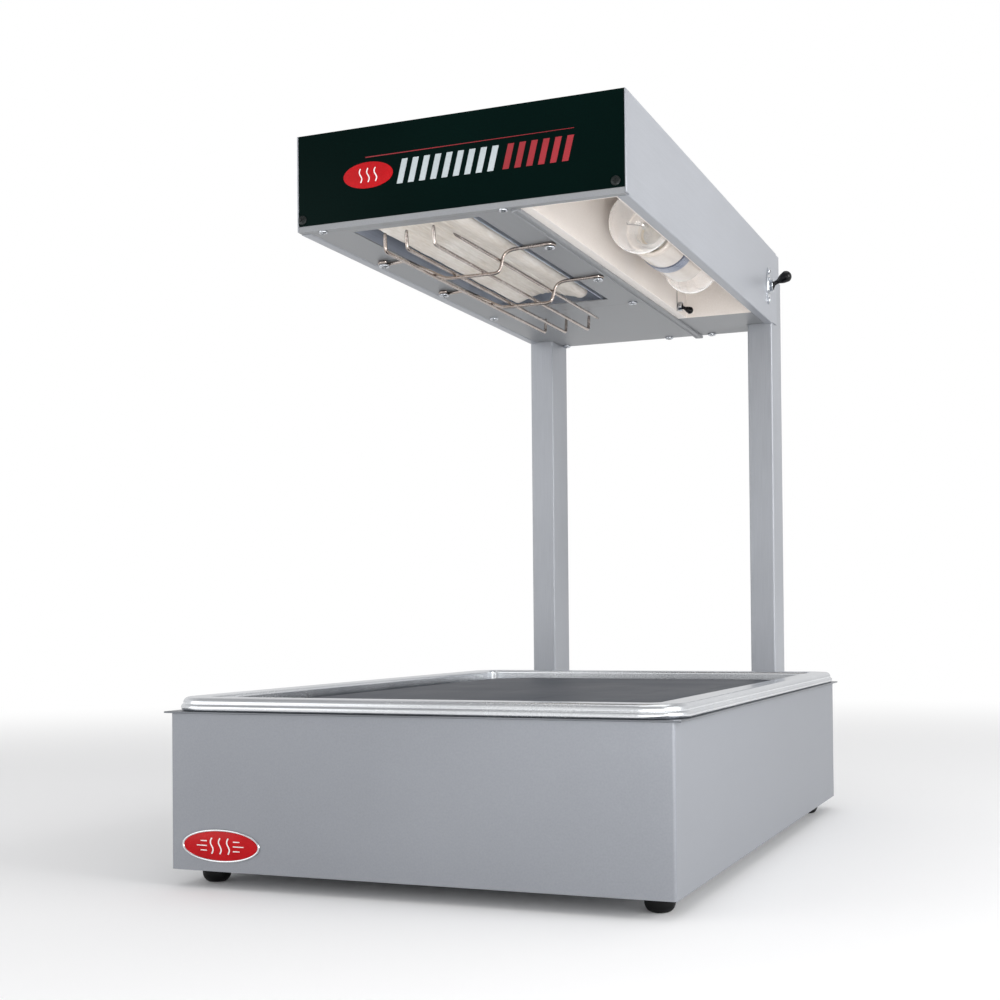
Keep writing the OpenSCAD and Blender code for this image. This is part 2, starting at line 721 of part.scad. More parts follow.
// A lever on its pivot ball: the pivot is the origin and the lever points along +X.
module lever(ball_r, root_r, tip_r, reach) difference() {
    union() {
        sphere(ball_r);
        rotate([0, 90, 0]) cylinder(r1 = root_r, r2 = tip_r, h = reach);
        translate([reach, 0, 0]) sphere(tip_r);
    }
    rotate([90, 0, 0]) cylinder(r = 0.85, h = 30, center = true);
}

// The lever's threaded bushing, open at its mouth, with the hole for the pivot pin.
module bushing(outer_r, bore_r, mouth, depth) difference() {
    translate([-depth, 0, 0]) rotate([0, 90, 0]) cylinder(r = outer_r, h = depth + mouth);
    translate([-depth + 2, 0, 0]) rotate([0, 90, 0]) cylinder(r = bore_r, h = depth + 20);
    rotate([90, 0, 0]) cylinder(r = 0.82, h = 30, center = true);
}

module power_switch_plate() color("#d0d3d7") at_head()
    translate([head_w / 2, power_y, power_z]) rotate([90, 0, 90])
        linear_extrude(1.2) difference() {
            union() {
                circle(9);
                for (s = [-1, 1]) translate([0, s * plate_screw_z]) circle(4);
                polygon([[0, 17.6], [-3.9, 14.6], [-8.7, 2.4], [-8.7, -2.4],
                    [-3.9, -14.6], [0, -17.6], [3.9, -14.6], [8.7, -2.4], [8.7, 2.4],
                    [3.9, 14.6]]);
            }
            circle(6.3);
            for (s = [-1, 1]) translate([0, s * plate_screw_z]) circle(1.8);
        }

module power_switch_screws() color("#8e9196") at_head() for (s = [-1, 1])
    translate([head_w / 2 + 1.2, power_y, power_z + s * plate_screw_z]) rotate([0, 90, 0]) {
        cylinder(r1 = 3, r2 = 1.8, h = 1.6);
        translate([0, 0, -7]) cylinder(r = 1.5, h = 7);
    }

module power_switch_body() color("#2b2d30") at_head()
    span([head_w / 2 - sheet - 26, power_y - 11, power_z - 9],
        [head_w / 2 - sheet - 2.4, power_y + 11, power_z + 9]);

module power_switch_bushing() color("#b9bcc1") at_power() {
    bushing(6.1, 4.5, 2.4, 6.8);
    difference() {
        translate([-2, 0, 0]) rotate([0, 90, 0]) cylinder(r = 8, h = 1.1, $fn = 6);
        translate([-5, 0, 0]) rotate([0, 90, 0]) cylinder(r = 5, h = 10);
    }
}

module power_switch_pin() color("#9a9da2") at_power()
    rotate([90, 0, 0]) cylinder(r = 0.8, h = 11.6, center = true);

module power_switch_lever() color("#0b0d0f") at_power()
    rotate([0, -lever_tilt, 0]) lever(3.9, 2, 5.6, 15.8);

module lamp_switch_body() color("#2b2d30") at_head()
    span([trough_x - 22, lamp_switch_y - 7, lamp_switch_z - 4.2],
        [trough_x - 2.4, lamp_switch_y + 7, lamp_switch_z + 9]);

module lamp_switch_bushing() color("#b9bcc1") at_lamp_switch()
    bushing(4.2, 3, 1.6, lamp_pivot - trough_x + 2.4);

module lamp_switch_pin() color("#9a9da2") at_lamp_switch()
    rotate([90, 0, 0]) cylinder(r = 0.8, h = 8, center = true);

module lamp_switch_lever() color("#0b0d0f") at_lamp_switch()
    rotate([0, lever_tilt, 0]) lever(2.5, 1.4, 3.4, 9.5);

// ---- wiring --------------------------------------------------------------------------

gland_x = -70;
gland_z = 28;
gland_bore = 5;
block_x = -20;
block_y = 500;

module terminal_block() color("#e9e6df") at_head() difference() {
    span([block_x - 28, block_y, panel_t], [block_x + 28, block_y + 20, 15]);
    for (i = [0:3]) translate([block_x - 21 + i * 14, block_y + 10, 9])
        cylinder(r = 3, h = 20);
}

// Leads between the gland, the terminal block, the heater, the lamps and the switches.
module wire_harness() color("#b04038") at_head() {
    lead = 1.2;
    in_y = block_y - 0.1;
    out_y = block_y + 20.1;
    for (i = [0:2]) {
        hook_x = block_x - 21 + i * 14;
        wire([[hook_x, out_y, 10], [hook_x, out_y + 22, 10 + 3 * i],
            [gland_x, 572, gland_z - 3 + 3 * i], [gland_x, 588, gland_z - 3 + 3 * i]],
            lead);
    }
    wire([[block_x - 7, in_y, 12], [block_x - 7, block_y - 30, 18],
        [block_x - 30, window_front + window_d + reflector_reach + 0.3, 22]], lead);
    wire([[block_x + 7, in_y, 12], [block_x + 7, block_y - 24, 30],
        [seam_x, 440, 66], [lamp_x, lamp_y, 66]], lead);
    wire([[block_x + 21, out_y, 12], [block_x + 50, out_y + 10, 20],
        [head_w / 2 - 36, power_y + 6, power_z], [head_w / 2 - 30, power_y + 6, power_z]],
        lead);
    wire([[block_x + 21, in_y, 12], [block_x + 40, block_y - 12, 16],
        [trough_x - 28, lamp_switch_y, 8], [trough_x - 23.4, lamp_switch_y, 8]], lead);
}

module cord_gland() color("#26282b") at_head() translate([gland_x, head_rear, gland_z])
    rotate([-90, 0, 0]) difference() {
        union() {
            translate([0, 0, -8]) cylinder(r = 8, h = 9);
            cylinder(r = 12.5, h = 6, $fn = 6);
            translate([0, 0, 6]) cylinder(r = 10.4, h = 7);
            translate([0, 0, 13]) cylinder(r1 = 10.4, r2 = 7.5, h = gland_reach - 13);
        }
        translate([0, 0, -20]) cylinder(r = gland_bore, h = 60);
    }

module gland_locknut() color("#8e9196") at_head()
    translate([gland_x, head_rear - sheet - 4, gland_z]) rotate([-90, 0, 0]) difference() {
        cylinder(r = 12, h = 4, $fn = 6);
        translate([0, 0, -1]) cylinder(r = 8, h = 6);
    }

// ---- the assembly --------------------------------------------------------------------

base_shell();
base_deck();
base_bottom_plate();
rubber_feet();
foot_studs();
badge_bezel();
badge_plate();
food_pan();
pan_insert();
left_post();
right_post();
post_plugs();
post_backing_plates();
post_bolts();
post_nuts();
head_brackets();
head_bracket_screws();
head_housing();
front_fascia();
fascia_screws();
front_rail();
heater_panel();
rear_bottom_panel();
panel_screws();
divider_rail();
rear_cover();
rear_cover_screws();
element_reflector();
ceramic_emitter();
emitter_studs();
insulation_blanket();
guard_crossbars();
guard_wires();
guard_screws();
lamp_trough();
lamp_bracket();
front_lampholder();
rear_lampholder();
front_bulb_glass();
rear_bulb_glass();
bulb_bases();
lamp_filaments();
power_switch_plate();
power_switch_screws();
power_switch_body();
power_switch_bushing();
power_switch_pin();
power_switch_lever();
lamp_switch_body();
lamp_switch_bushing();
lamp_switch_pin();
lamp_switch_lever();
terminal_block();
wire_harness();
cord_gland();
gland_locknut();
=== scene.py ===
"""Looks for the countertop heat lamp warmer: its pieces, materials, studio and camera."""

import json
import math

import bmesh
import bpy
from mathutils import Matrix, Vector


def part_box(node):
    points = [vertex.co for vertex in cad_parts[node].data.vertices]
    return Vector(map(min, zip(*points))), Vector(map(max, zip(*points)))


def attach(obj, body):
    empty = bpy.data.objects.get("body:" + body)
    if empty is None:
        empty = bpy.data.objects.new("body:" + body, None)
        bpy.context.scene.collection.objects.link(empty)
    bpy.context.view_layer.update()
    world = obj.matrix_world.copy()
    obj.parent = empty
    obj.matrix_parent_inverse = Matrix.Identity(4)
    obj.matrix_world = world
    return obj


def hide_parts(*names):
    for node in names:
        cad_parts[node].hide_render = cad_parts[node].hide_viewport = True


MM = 0.001

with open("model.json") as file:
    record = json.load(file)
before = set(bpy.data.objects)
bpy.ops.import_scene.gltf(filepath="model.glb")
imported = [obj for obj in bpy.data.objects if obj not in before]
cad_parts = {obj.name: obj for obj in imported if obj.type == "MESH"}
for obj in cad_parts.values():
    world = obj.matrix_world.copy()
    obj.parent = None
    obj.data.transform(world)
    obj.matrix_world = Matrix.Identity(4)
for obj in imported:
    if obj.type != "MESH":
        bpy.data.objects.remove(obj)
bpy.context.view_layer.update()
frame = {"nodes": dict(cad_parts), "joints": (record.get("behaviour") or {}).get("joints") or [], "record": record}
body_of = {
    node: body
    for body, nodes in frame["record"]["behaviour"]["bodies"].items()
    for node in nodes
}
joints = {j["name"]: j for j in frame["joints"]}
slot_of = {s["node"]: s["material_slot"] for s in frame["record"]["subparts"]}

front_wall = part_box("base_shell")[0].y
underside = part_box("heater_panel")[0].z


def middle(node):
    low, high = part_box(node)
    return (low + high) / 2


# ---- materials -----------------------------------------------------------------------


def colour(text):
    """Linear colour of a six-digit sRGB hex text."""
    parts = [int(text[i : i + 2], 16) / 255 for i in (0, 2, 4)]
    return [p / 12.92 if p <= 0.04045 else ((p + 0.055) / 1.055) ** 2.4 for p in parts] + [1]


def surface(
    name,
    dark,
    light,
    rough,
    metallic=0.0,
    grain=500,
    stretch=(1, 1, 1),
    bump=0.2,
    depth=0.05,
    cloud=9,
    marks=0.0,
    mark_stretch=(1, 0.04, 1),
    **sockets,
):
    """A procedural finish: a fine grain and a broad cloud drive its colour, gloss and relief.

    dark and light are the two ends of its colour, rough the two ends of its roughness,
    grain and cloud how many features fit in a metre, depth the relief in mm, and marks
    how strongly fine rubbed lines show.
    """
    mat = bpy.data.materials.new(name)
    mat.use_nodes = True
    tree = mat.node_tree
    shader = tree.nodes["Principled BSDF"]

    def node(kind, **settings):
        made = tree.nodes.new(kind)
        for key, value in settings.items():
            setattr(made, key, value)
        return made

    def noise(scale, detail, squeeze=None):
        made = node("ShaderNodeTexNoise")
        made.inputs["Scale"].default_value = scale
        made.inputs["Detail"].default_value = detail
        if squeeze is None:
            tree.links.new(coords.outputs["Object"], made.inputs["Vector"])
        else:
            mapping = node("ShaderNodeMapping")
            mapping.inputs["Scale"].default_value = squeeze
            tree.links.new(coords.outputs["Object"], mapping.inputs["Vector"])
            tree.links.new(mapping.outputs["Vector"], made.inputs["Vector"])
        return made.outputs["Fac"]

    def spread(value, low, high, to_low=0.0, to_high=1.0):
        made = node("ShaderNodeMapRange")
        for socket, number in zip(made.inputs[1:5], (low, high, to_low, to_high)):
            socket.default_value = number
        tree.links.new(value, made.inputs[0])
        return made.outputs[0]

    def math_node(operation, a, b):
        made = node("ShaderNodeMath", operation=operation)
        for socket, value in zip(made.inputs, (a, b)):
            if isinstance(value, float):
                socket.default_value = value
            else:
                tree.links.new(value, socket)
        return made.outputs[0]

    coords = node("ShaderNodeTexCoord")
    fine = noise(grain, 5, stretch)
    broad = noise(cloud, 3)
    tone = math_node(
        "ADD",
        math_node("MULTIPLY", spread(fine, 0.3, 0.7), 0.45),
        math_node("MULTIPLY", spread(broad, 0.3, 0.7), 0.55),
    )
    gloss = spread(
        math_node("ADD", math_node("MULTIPLY", fine, 0.4), math_node("MULTIPLY", broad, 0.6)),
        0.35,
        0.65,
        rough[0],
        rough[1],
    )
    if marks:
        rubbed = spread(noise(110, 6, mark_stretch), 0.6, 0.72, 0.0, marks)
        tone = math_node("ADD", tone, rubbed)
        gloss = math_node("ADD", gloss, math_node("MULTIPLY", rubbed, 0.25))
    tint = node("ShaderNodeMix", data_type="RGBA", clamp_factor=True)
    tree.links.new(tone, tint.inputs["Factor"])
    for socket, value in zip([s for s in tint.inputs if s.type == "RGBA"], (dark, light)):
        socket.default_value = colour(value)
    tree.links.new([s for s in tint.outputs if s.type == "RGBA"][0], shader.inputs["Base Color"])
    tree.links.new(gloss, shader.inputs["Roughness"])
    relief = node("ShaderNodeBump")
    relief.inputs["Strength"].default_value = bump
    relief.inputs["Distance"].default_value = depth * MM
    tree.links.new(fine, relief.inputs["Height"])
    tree.links.new(relief.outputs["Normal"], shader.inputs["Normal"])
    shader.inputs["Metallic"].default_value = metallic
    for key, value in sockets.items():
        shader.inputs[key.replace("_", " ")].default_value = value
    return mat


ACROSS = (0.02, 1, 1)
ALONG = (1, 0.02, 1)
UPRIGHT = (1, 1, 0.02)

finishes = {
    "base_paint": surface("base_paint", "85888e", "92959b", (0.40, 0.52), 0.25, 800,
                          bump=0.25, depth=0.04, cloud=5, marks=0.10),
    "deck_steel": surface("deck_steel", "6b6e73", "8a8d92", (0.30, 0.42), 0.8, 900,
                          ACROSS, 0.2, 0.02, marks=0.25),
    "foot_rubber": surface("foot_rubber", "040405", "0f0f10", (0.46, 0.66), 0, 1400,
                           bump=0.4, depth=0.06, cloud=60, Specular_IOR_Level=0.2),
    "zinc_hardware": surface("zinc_hardware", "a9adb3", "dcdfe3", (0.16, 0.30), 1.0, 1800,
                             bump=0.15, depth=0.02, cloud=120, marks=0.2),
    "badge_rim": surface("badge_rim", "c9ccd0", "eceef0", (0.12, 0.22), 1.0, 1500,
                         bump=0.1, depth=0.01, cloud=70),
    "badge_red": surface("badge_red", "a3060f", "bf0a15", (0.20, 0.30), 0.0, 1200,
                         bump=0.05, depth=0.02, cloud=50, Specular_IOR_Level=0.12,
                         Coat_Weight=0.12, Coat_Roughness=0.1),
    "pan_steel": surface("pan_steel", "cfd2d6", "eceef0", (0.20, 0.29), 1.0, 1400,
                         bump=0.05, depth=0.01, cloud=7, marks=0.08),
    # The insert's dark slate coat is partly painted shade: besides a dark coating, it stands for the shade in the
    # well between the food cartons.
    "insert_coat": surface("insert_coat", "2b313a", "3d434e", (0.48, 0.62), 0.1, 1300,
                           bump=0.35, depth=0.06, cloud=12, marks=0.25),
    "post_metal": surface("post_metal", "95989d", "a9acb2", (0.34, 0.44), 0.4, 1500,
                          UPRIGHT, 0.12, 0.02, cloud=6, marks=0.10,
                          mark_stretch=(1, 1, 0.03)),
    "black_plastic": surface("black_plastic", "131315", "242528", (0.38, 0.52), 0, 1500,
                             bump=0.3, depth=0.05, cloud=60),
    "plain_steel": surface("plain_steel", "7f8287", "a3a6ab", (0.30, 0.45), 0.95, 1200,
                           UPRIGHT, 0.15, 0.02, cloud=25, marks=0.2),
    "head_metal": surface("head_metal", "9da0a6", "afb2b8", (0.34, 0.44), 0.45, 1500,
                          ALONG, 0.10, 0.02, cloud=5, marks=0.08),
    "fascia_gloss": surface("fascia_gloss", "010d0b", "021512", (0.16, 0.26), 0, 900,
                            bump=0.06, depth=0.03, cloud=8, marks=0.02,
                            Specular_IOR_Level=0.03),
    "black_screw": surface("black_screw", "0a0f0f", "1d2423", (0.28, 0.42), 0.4, 1500,
                           bump=0.2, depth=0.02, cloud=90),
    "panel_steel": surface("panel_steel", "85878a", "96989b", (0.36, 0.48), 0.3, 1200,
                           ALONG, 0.12, 0.02, cloud=7, marks=0.12),
    "reflector_metal": surface("reflector_metal", "a9b0bf", "ccd3e0", (0.26, 0.40), 0.55,
                               900, ALONG, 0.12, 0.02, cloud=14, marks=0.2),
    "emitter_ceramic": surface("emitter_ceramic", "d6ccbf", "f7f3ee", (0.62, 0.80), 0,
                               700, (1, 0.12, 1), 0.6, 0.3, cloud=22),
    "insulation_fibre": surface("insulation_fibre", "b3a67c", "dcd2ad", (0.85, 0.95), 0,
                                900, (1, 0.2, 1), 0.8, 0.6, cloud=40),
    "guard_wire": surface("guard_wire", "94857c", "cdc5bf", (0.18, 0.32), 1.0, 900,
                          bump=0.08, depth=0.02, cloud=45, marks=0.2),
    "trough_paint": surface("trough_paint", "e9e1da", "f4eee9", (0.34, 0.44), 0, 700,
                            bump=0.2, depth=0.04, cloud=11),
    "bracket_metal": surface("bracket_metal", "7f879b", "a7aebe", (0.26, 0.38), 0.7, 1200,
                             bump=0.1, depth=0.02, cloud=30, marks=0.15),
    "porcelain": surface("porcelain", "d8cdc2", "e8e0d8", (0.14, 0.24), 0, 500,
                         bump=0.12, depth=0.06, cloud=35, Coat_Weight=0.4),
    # The faint glow on the bulb glass is painted light: it brightens the glass to a pearly white and is not the
    # lamps' own light.
    "bulb_glass": surface("bulb_glass", "fbf6f2", "ffffff", (0.0, 0.04), 0, 300,
                          bump=0.05, depth=0.03, cloud=40, Transmission_Weight=0.93,
                          IOR=1.5, Emission_Color=(1.0, 0.98, 0.96, 1.0),
                          Emission_Strength=0.075),
    "lamp_brass": surface("lamp_brass", "a8926a", "d9c596", (0.25, 0.38), 1.0, 1500,
                          bump=0.15, depth=0.02, cloud=90),
    "filament_mount": surface("filament_mount", "e9e4da", "f8f5ef", (0.02, 0.08), 0, 600,
                              bump=0.1, depth=0.03, cloud=80, Transmission_Weight=0.7),
    "switch_chrome": surface("switch_chrome", "b9bdc2", "e6e8eb", (0.10, 0.20), 1.0, 1500,
                             bump=0.08, depth=0.01, cloud=100, marks=0.1),
    "lever_gloss": surface("lever_gloss", "050608", "101114", (0.10, 0.20), 0, 900,
                           bump=0.06, depth=0.02, cloud=70, Specular_IOR_Level=0.25),
    "wire_sleeve": surface("wire_sleeve", "7d2a22", "b5453a", (0.60, 0.80), 0, 1600,
                           (1, 1, 0.3), 0.7, 0.15, cloud=120),
}
grey_ink = surface("grey_ink", "a9b3b6", "c3cbce", (0.30, 0.40), 0.1, 900, bump=0.1,
                   depth=0.01, cloud=30)
red_ink = surface("red_ink", "7f131d", "9e1d29", (0.28, 0.38), 0.0, 900, bump=0.1,
                  depth=0.01, cloud=30)
white_ink = surface("white_ink", "dcdcdc", "f4f4f4", (0.26, 0.36), 0.0, 900, bump=0.1,
                    depth=0.01, cloud=30)
tungsten = surface("tungsten", "4a3a33", "6e5a50", (0.30, 0.45), 0.9, 1800, bump=0.2,
                   depth=0.02, cloud=200)
# Painted shade: a near-black finish for a thin line that stands for the shade in the lamp trough's inner corner.
painted_corner_shade = surface("painted_corner_shade", "2a2a2c", "47474a", (0.45, 0.60), 0, 900, bump=0.2,
                  depth=0.05, cloud=60)

for node, piece in frame["nodes"].items():
    piece.data.materials.clear()
    piece.data.materials.append(finishes[slot_of[node]])


# ---- mesh making ---------------------------------------------------------------------


def finish_piece(name, bm, body, slot, replaces=(), material=None, sharp=35, weighted=False):
    """Makes an object of a bmesh, shades it, and ties it to its body and its CAD nodes."""
    bmesh.ops.recalc_face_normals(bm, faces=bm.faces)
    mesh = bpy.data.meshes.new(name)
    bm.to_mesh(mesh)
    bm.free()
    mesh.shade_smooth()
    mesh.set_sharp_from_angle(angle=math.radians(sharp))
    mesh.materials.append(material or finishes[slot])
    piece = bpy.data.objects.new(name, mesh)
    bpy.context.scene.collection.objects.link(piece)
    if weighted:
        piece.modifiers.new("even_shading", "WEIGHTED_NORMAL").keep_sharp = True
    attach(piece, body)
    if replaces:
        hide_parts(*replaces)
    return piece


def turn(bm, profile, steps=48, place=Matrix()):
    """Turns a profile of (radius, height) points round the place's Z axis."""
    rings = []
    for radius, height in profile:
        count = steps if radius > 1e-7 else 1
        rings.append([
            bm.verts.new(place @ Vector((
                radius * math.cos(2 * math.pi * k / steps),
                radius * math.sin(2 * math.pi * k / steps),
                height)))
            for k in range(count)])
    for low, high in zip(rings, rings[1:]):
        for k in range(steps):
            corners = [low[k % len(low)], low[(k + 1) % steps % len(low)],
                       high[(k + 1) % steps % len(high)], high[k % len(high)]]
            unique = list(dict.fromkeys(corners))
            if len(unique) > 2:
                bm.faces.new(unique)


def bridge(bm, rings):
    """Joins each closed ring of vertices to the next one with four-sided faces."""
    for low, high in zip(rings, rings[1:]):
        for k in range(len(low)):
            n = (k + 1) % len(low)
            bm.faces.new((low[k], low[n], high[n], high[k]))


def rounded(points, radius, steps=4):
    """The points of a line with every inner corner rounded by a short curve."""
    points = [Vector(p) for p in points]
    out = [points[0]]
    for before, corner, after in zip(points, points[1:], points[2:]):
        back = corner + (before - corner).normalized() * min(radius, (before - corner).length / 2.1)
        ahead = corner + (after - corner).normalized() * min(radius, (after - corner).length / 2.1)
        for k in range(steps + 1):
            t = k / steps
            out.append(back * (1 - t) ** 2 + corner * 2 * t * (1 - t) + ahead * t * t)
    out.append(points[-1])
    return out


def arc(centre, radius, start, end, steps):
    return [(centre[0] + radius * math.cos(math.radians(start + (end - start) * k / steps)),
             centre[1] + radius * math.sin(math.radians(start + (end - start) * k / steps)))
            for k in range(steps + 1)]


def ring_sweep(bm, section, width, depth, corner, place, corner_steps=14):
    """Carries a section of (distance in, height) points round a rounded rectangle."""
    rings = []
    for quarter, (sx, sy) in enumerate(((1, 1), (-1, 1), (-1, -1), (1, -1))):
        for k in range(corner_steps + 1):
            a = math.radians(quarter * 90 + k * 90 / corner_steps)
            rings.append([
                bm.verts.new(place + Vector((
                    sx * (width / 2 - corner) + (corner - u) * math.cos(a),
                    sy * (depth / 2 - corner) + (corner - u) * math.sin(a), v)))
                for u, v in section])
    for low, high in zip(rings, rings[1:] + rings[:1]):
        for k in range(len(section) - 1):
            bm.faces.new((low[k], low[k + 1], high[k + 1], high[k]))
    bm.faces.new([r[0] for r in rings])
    bm.faces.new([r[-1] for r in rings])


def tube(bm, points, radius, sides=16):
    """A round wire along a line of points, closed with blunt tips."""
    points = [Vector(p) for p in points]
    heading = [
        ((points[min(i + 1, len(points) - 1)] - points[i]).normalized()
         + (points[i] - points[max(i - 1, 0)]).normalized()).normalized()
        for i in range(len(points))]
    side = heading[0].orthogonal().normalized()
    rings = []
    for i, (point, way) in enumerate(zip(points, heading)):
        side = (side - way * side.dot(way)).normalized()
        other = way.cross(side)
        rings.append([
            bm.verts.new(point + radius * (math.cos(a) * side + math.sin(a) * other))
            for a in (2 * math.pi * k / sides for k in range(sides))])
    bridge(bm, rings)
    for ring, end, way in ((rings[0], points[0], -heading[0]), (rings[-1], points[-1], heading[-1])):
        tip = bm.verts.new(end + way * radius * 0.5)
        for k in range(sides):
            bm.faces.new((ring[k], ring[(k + 1) % sides], tip))


def plate(bm, outline, place, thickness, edge=0.0):
    """A flat piece cut to an outline of (x, y) points, raised along the place's Z axis."""
    bottom = [bm.verts.new(place @ Vector((x, y, 0))) for x, y in outline]
    top = [bm.verts.new(place @ Vector((x, y, thickness))) for x, y in outline]
    lid = bm.faces.new(top)
    bm.faces.new(bottom[::-1])
    for k in range(len(outline)):
        n = (k + 1) % len(outline)
        bm.faces.new((bottom[k], bottom[n], top[n], top[k]))
    if edge:
        bmesh.ops.bevel(bm, geom=list(lid.edges), offset=edge, segments=3, profile=0.5,
                        affect="EDGES")


def welded(node, gap):
    """The CAD node's mesh as a bmesh with its seams closed, up to a gap in mm."""
    bm = bmesh.new()
    bm.from_mesh(frame["nodes"][node].data)
    bmesh.ops.remove_doubles(bm, verts=bm.verts, dist=gap * MM)
    return bm


def copied(node):
    """The CAD node's mesh as a bmesh with its seams closed and its flat faces whole."""
    bm = welded(node, 0.02)
    bmesh.ops.dissolve_limit(bm, angle_limit=math.radians(0.6), verts=bm.verts, edges=bm.edges)
    return bm


def folded(node, radius, longer_than, segments=3):
    """A sheet-metal piece like its CAD node, with its long edges rounded as a press leaves them."""
    bm = copied(node)
    edges = [e for e in bm.edges
             if len(e.link_faces) == 2 and e.calc_face_angle(0) > 0.6
             and e.calc_length() > longer_than * MM]
    bmesh.ops.bevel(bm, geom=edges, offset=radius * MM, segments=segments, profile=0.5,
                    affect="EDGES", clamp_overlap=False)
    return finish_piece(node + "_formed", bm, body_of[node], slot_of[node], (node,), weighted=True)


def facing(point, normal, spin=0.0):
    """A place at a point whose Z axis looks along the normal."""
    turn_to = Vector((0, 0, 1)).rotation_difference(Vector(normal)).to_matrix().to_4x4()
    return Matrix.Translation(point) @ turn_to @ Matrix.Rotation(spin, 4, "Z")


def upright(point):
    """A place on a front face: Z looks out to the front and Y points up."""
    place = facing(point, (0, -1, 0))
    if (place.to_3x3() @ Vector((0, 1, 0))).z < 0:
        place = place @ Matrix.Rotation(math.pi, 4, "Z")
    return place


# ---- sheet metal ---------------------------------------------------------------------

folded("base_deck", 0.4, 40)
folded("head_housing", 0.5, 60)
folded("front_fascia", 0.35, 20)
folded("front_rail", 0.4, 60)
folded("heater_panel", 0.25, 60)
folded("rear_bottom_panel", 0.25, 30)
folded("rear_cover", 0.45, 30)
folded("element_reflector", 0.25, 60)
folded("lamp_trough", 0.25, 60)
folded("power_switch_plate", 0.3, 2)
folded("post_plugs", 0.5, 10)

rail_low, rail_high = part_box("divider_rail")
rail_mid = (rail_low.x + rail_high.x) / 2
rail_half = (rail_high.x - rail_low.x) / 2
rail_end = rail_high.y - rail_half
bm = bmesh.new()
outline = [(rail_low.x, rail_low.y), (rail_high.x, rail_low.y)] + [
    (rail_mid + rail_half * math.cos(a), rail_end + rail_half * math.sin(a))
    for a in (math.pi * k / 20 for k in range(21))]
rail_drop = 1.6 * MM
rolled_edge = 1.0 * MM
plate(bm, outline, Matrix.Translation((0, 0, underside)) @ Matrix.Diagonal((1, 1, -1, 1)),
      rail_drop, 0.5 * MM)
for x in (rail_low.x + 1.1 * MM, rail_high.x - 1.1 * MM):
    edge_line = [Vector((x, y, underside - 1.5 * MM))
                 for y in (rail_low.y, (rail_low.y + rail_end) / 2, rail_end - 2 * MM)]
    tube(bm, edge_line, rolled_edge, 20)
finish_piece("divider_rail_rolled", bm, "frame", "panel_steel", ("divider_rail",), sharp=50)

# ---- pan and insert ------------------------------------------------------------------

pan_low, pan_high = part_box("food_pan")
rim_corner = 28 * MM
rim_height = 9.5
rim_width = 21.5
pan_wall = 1.0
bead = 2.5
dome = 4.0
dome_mid = (bead + 3.1, rim_height - dome)
fillet = 5.0
pan_depth = (pan_high.z - pan_low.z) / MM - rim_height
fillet_mid = (rim_width + fillet, fillet + pan_wall - pan_depth)
section = (
    arc(fillet_mid, fillet, 270, 180, 8)
    + arc((rim_width - 2.5, rim_height - 2.5), 2.5, 0, 90, 6)
    + arc(dome_mid, dome, 90, 189, 14)
    + arc((bead, bead), bead, 110, 447, 28)
    + arc(dome_mid, dome - pan_wall, 190, 90, 10)
    + arc((rim_width - 2.5, rim_height - 2.5), 1.5, 90, 0, 4)
    + arc(fillet_mid, fillet + pan_wall, 180, 270, 8)
)
bm = bmesh.new()
ring_sweep(
    bm,
    [(u * MM, v * MM) for u, v in section],
    pan_high.x - pan_low.x,
    pan_high.y - pan_low.y,
    rim_corner,
    Vector((0, (pan_low.y + pan_high.y) / 2, pan_high.z - rim_height * MM)),
)
finish_piece("pan_drawn", bm, "pan", "pan_steel", ("food_pan",), sharp=60, weighted=True)

insert_low, insert_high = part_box("pan_insert")
skirt = 14.0
insert_corner = 40 * MM
leg_inset = 30 * MM
roll = 3.0
sheet = 1.5
section = (
    [(u, v) for u, v in arc((roll, skirt - roll), roll - sheet, 90, 180, 6)]
    + [(sheet, 0.4), (sheet / 2, 0), (0, 0.4)]
    + arc((roll, skirt - roll), roll, 180, 90, 8)
)
bm = bmesh.new()
ring_sweep(
    bm,
    [(u * MM, v * MM) for u, v in section],
    insert_high.x - insert_low.x,
    insert_high.y - insert_low.y,
    insert_corner,
    Vector((0, (insert_low.y + insert_high.y) / 2, insert_high.z - skirt * MM)),
    20,
)
leg_height = insert_high.z - insert_low.z - sheet * MM
for sx in (-1, 1):
    for sy in (-1, 1):
        leg = Vector((
            sx * (insert_high.x - leg_inset),
            (insert_low.y + insert_high.y) / 2
            + sy * ((insert_high.y - insert_low.y) / 2 - leg_inset),
            insert_low.z))
        turn(bm, [(0, 0), (4.6 * MM, 0), (5.7 * MM, 0.4 * MM), (6 * MM, 1.4 * MM),
                  (6 * MM, leg_height - 2 * MM), (7.2 * MM, leg_height)], 32,
             Matrix.Translation(leg))
finish_piece("insert_plate", bm, "insert", "insert_coat", ("pan_insert",), sharp=50, weighted=True)

# ---- feet and badge ------------------------------------------------------------------

feet_low, feet_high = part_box("rubber_feet")
foot_r = 10 * MM
foot_profile = (
    [(0, 0), (4.5, 0)]
    + [(4.5 + 5.5 * math.sin(a), 7 * (1 - math.cos(a)))
       for a in (math.radians(7.5 * k) for k in range(1, 13))]
    + [(10, 8.6), (9.7, 8.8), (9.7, 9.2), (10, 9.4), (10, 11.7), (9.7, 12), (2.1, 12), (2.1, 4)])
bm = bmesh.new()
for x in (feet_low.x + foot_r, feet_high.x - foot_r):
    for y in (feet_low.y + foot_r, feet_high.y - foot_r):
        turn(bm, [(r * MM, h * MM) for r, h in foot_profile], 48,
             Matrix.Translation((x, y, 0)))
finish_piece("feet_moulded", bm, "frame", "foot_rubber", ("rubber_feet",), sharp=50)


def oval(width, height, steps=96):
    return [(width / 2 * math.cos(2 * math.pi * k / steps), height / 2 * math.sin(2 * math.pi * k / steps))
            for k in range(steps)]


badge_low, badge_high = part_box("badge_bezel")
badge_w = badge_high.x - badge_low.x
badge_h = badge_high.z - badge_low.z
badge_mid = (badge_low + badge_high) / 2
badge_face = upright(Vector((badge_mid.x, front_wall, badge_mid.z)))

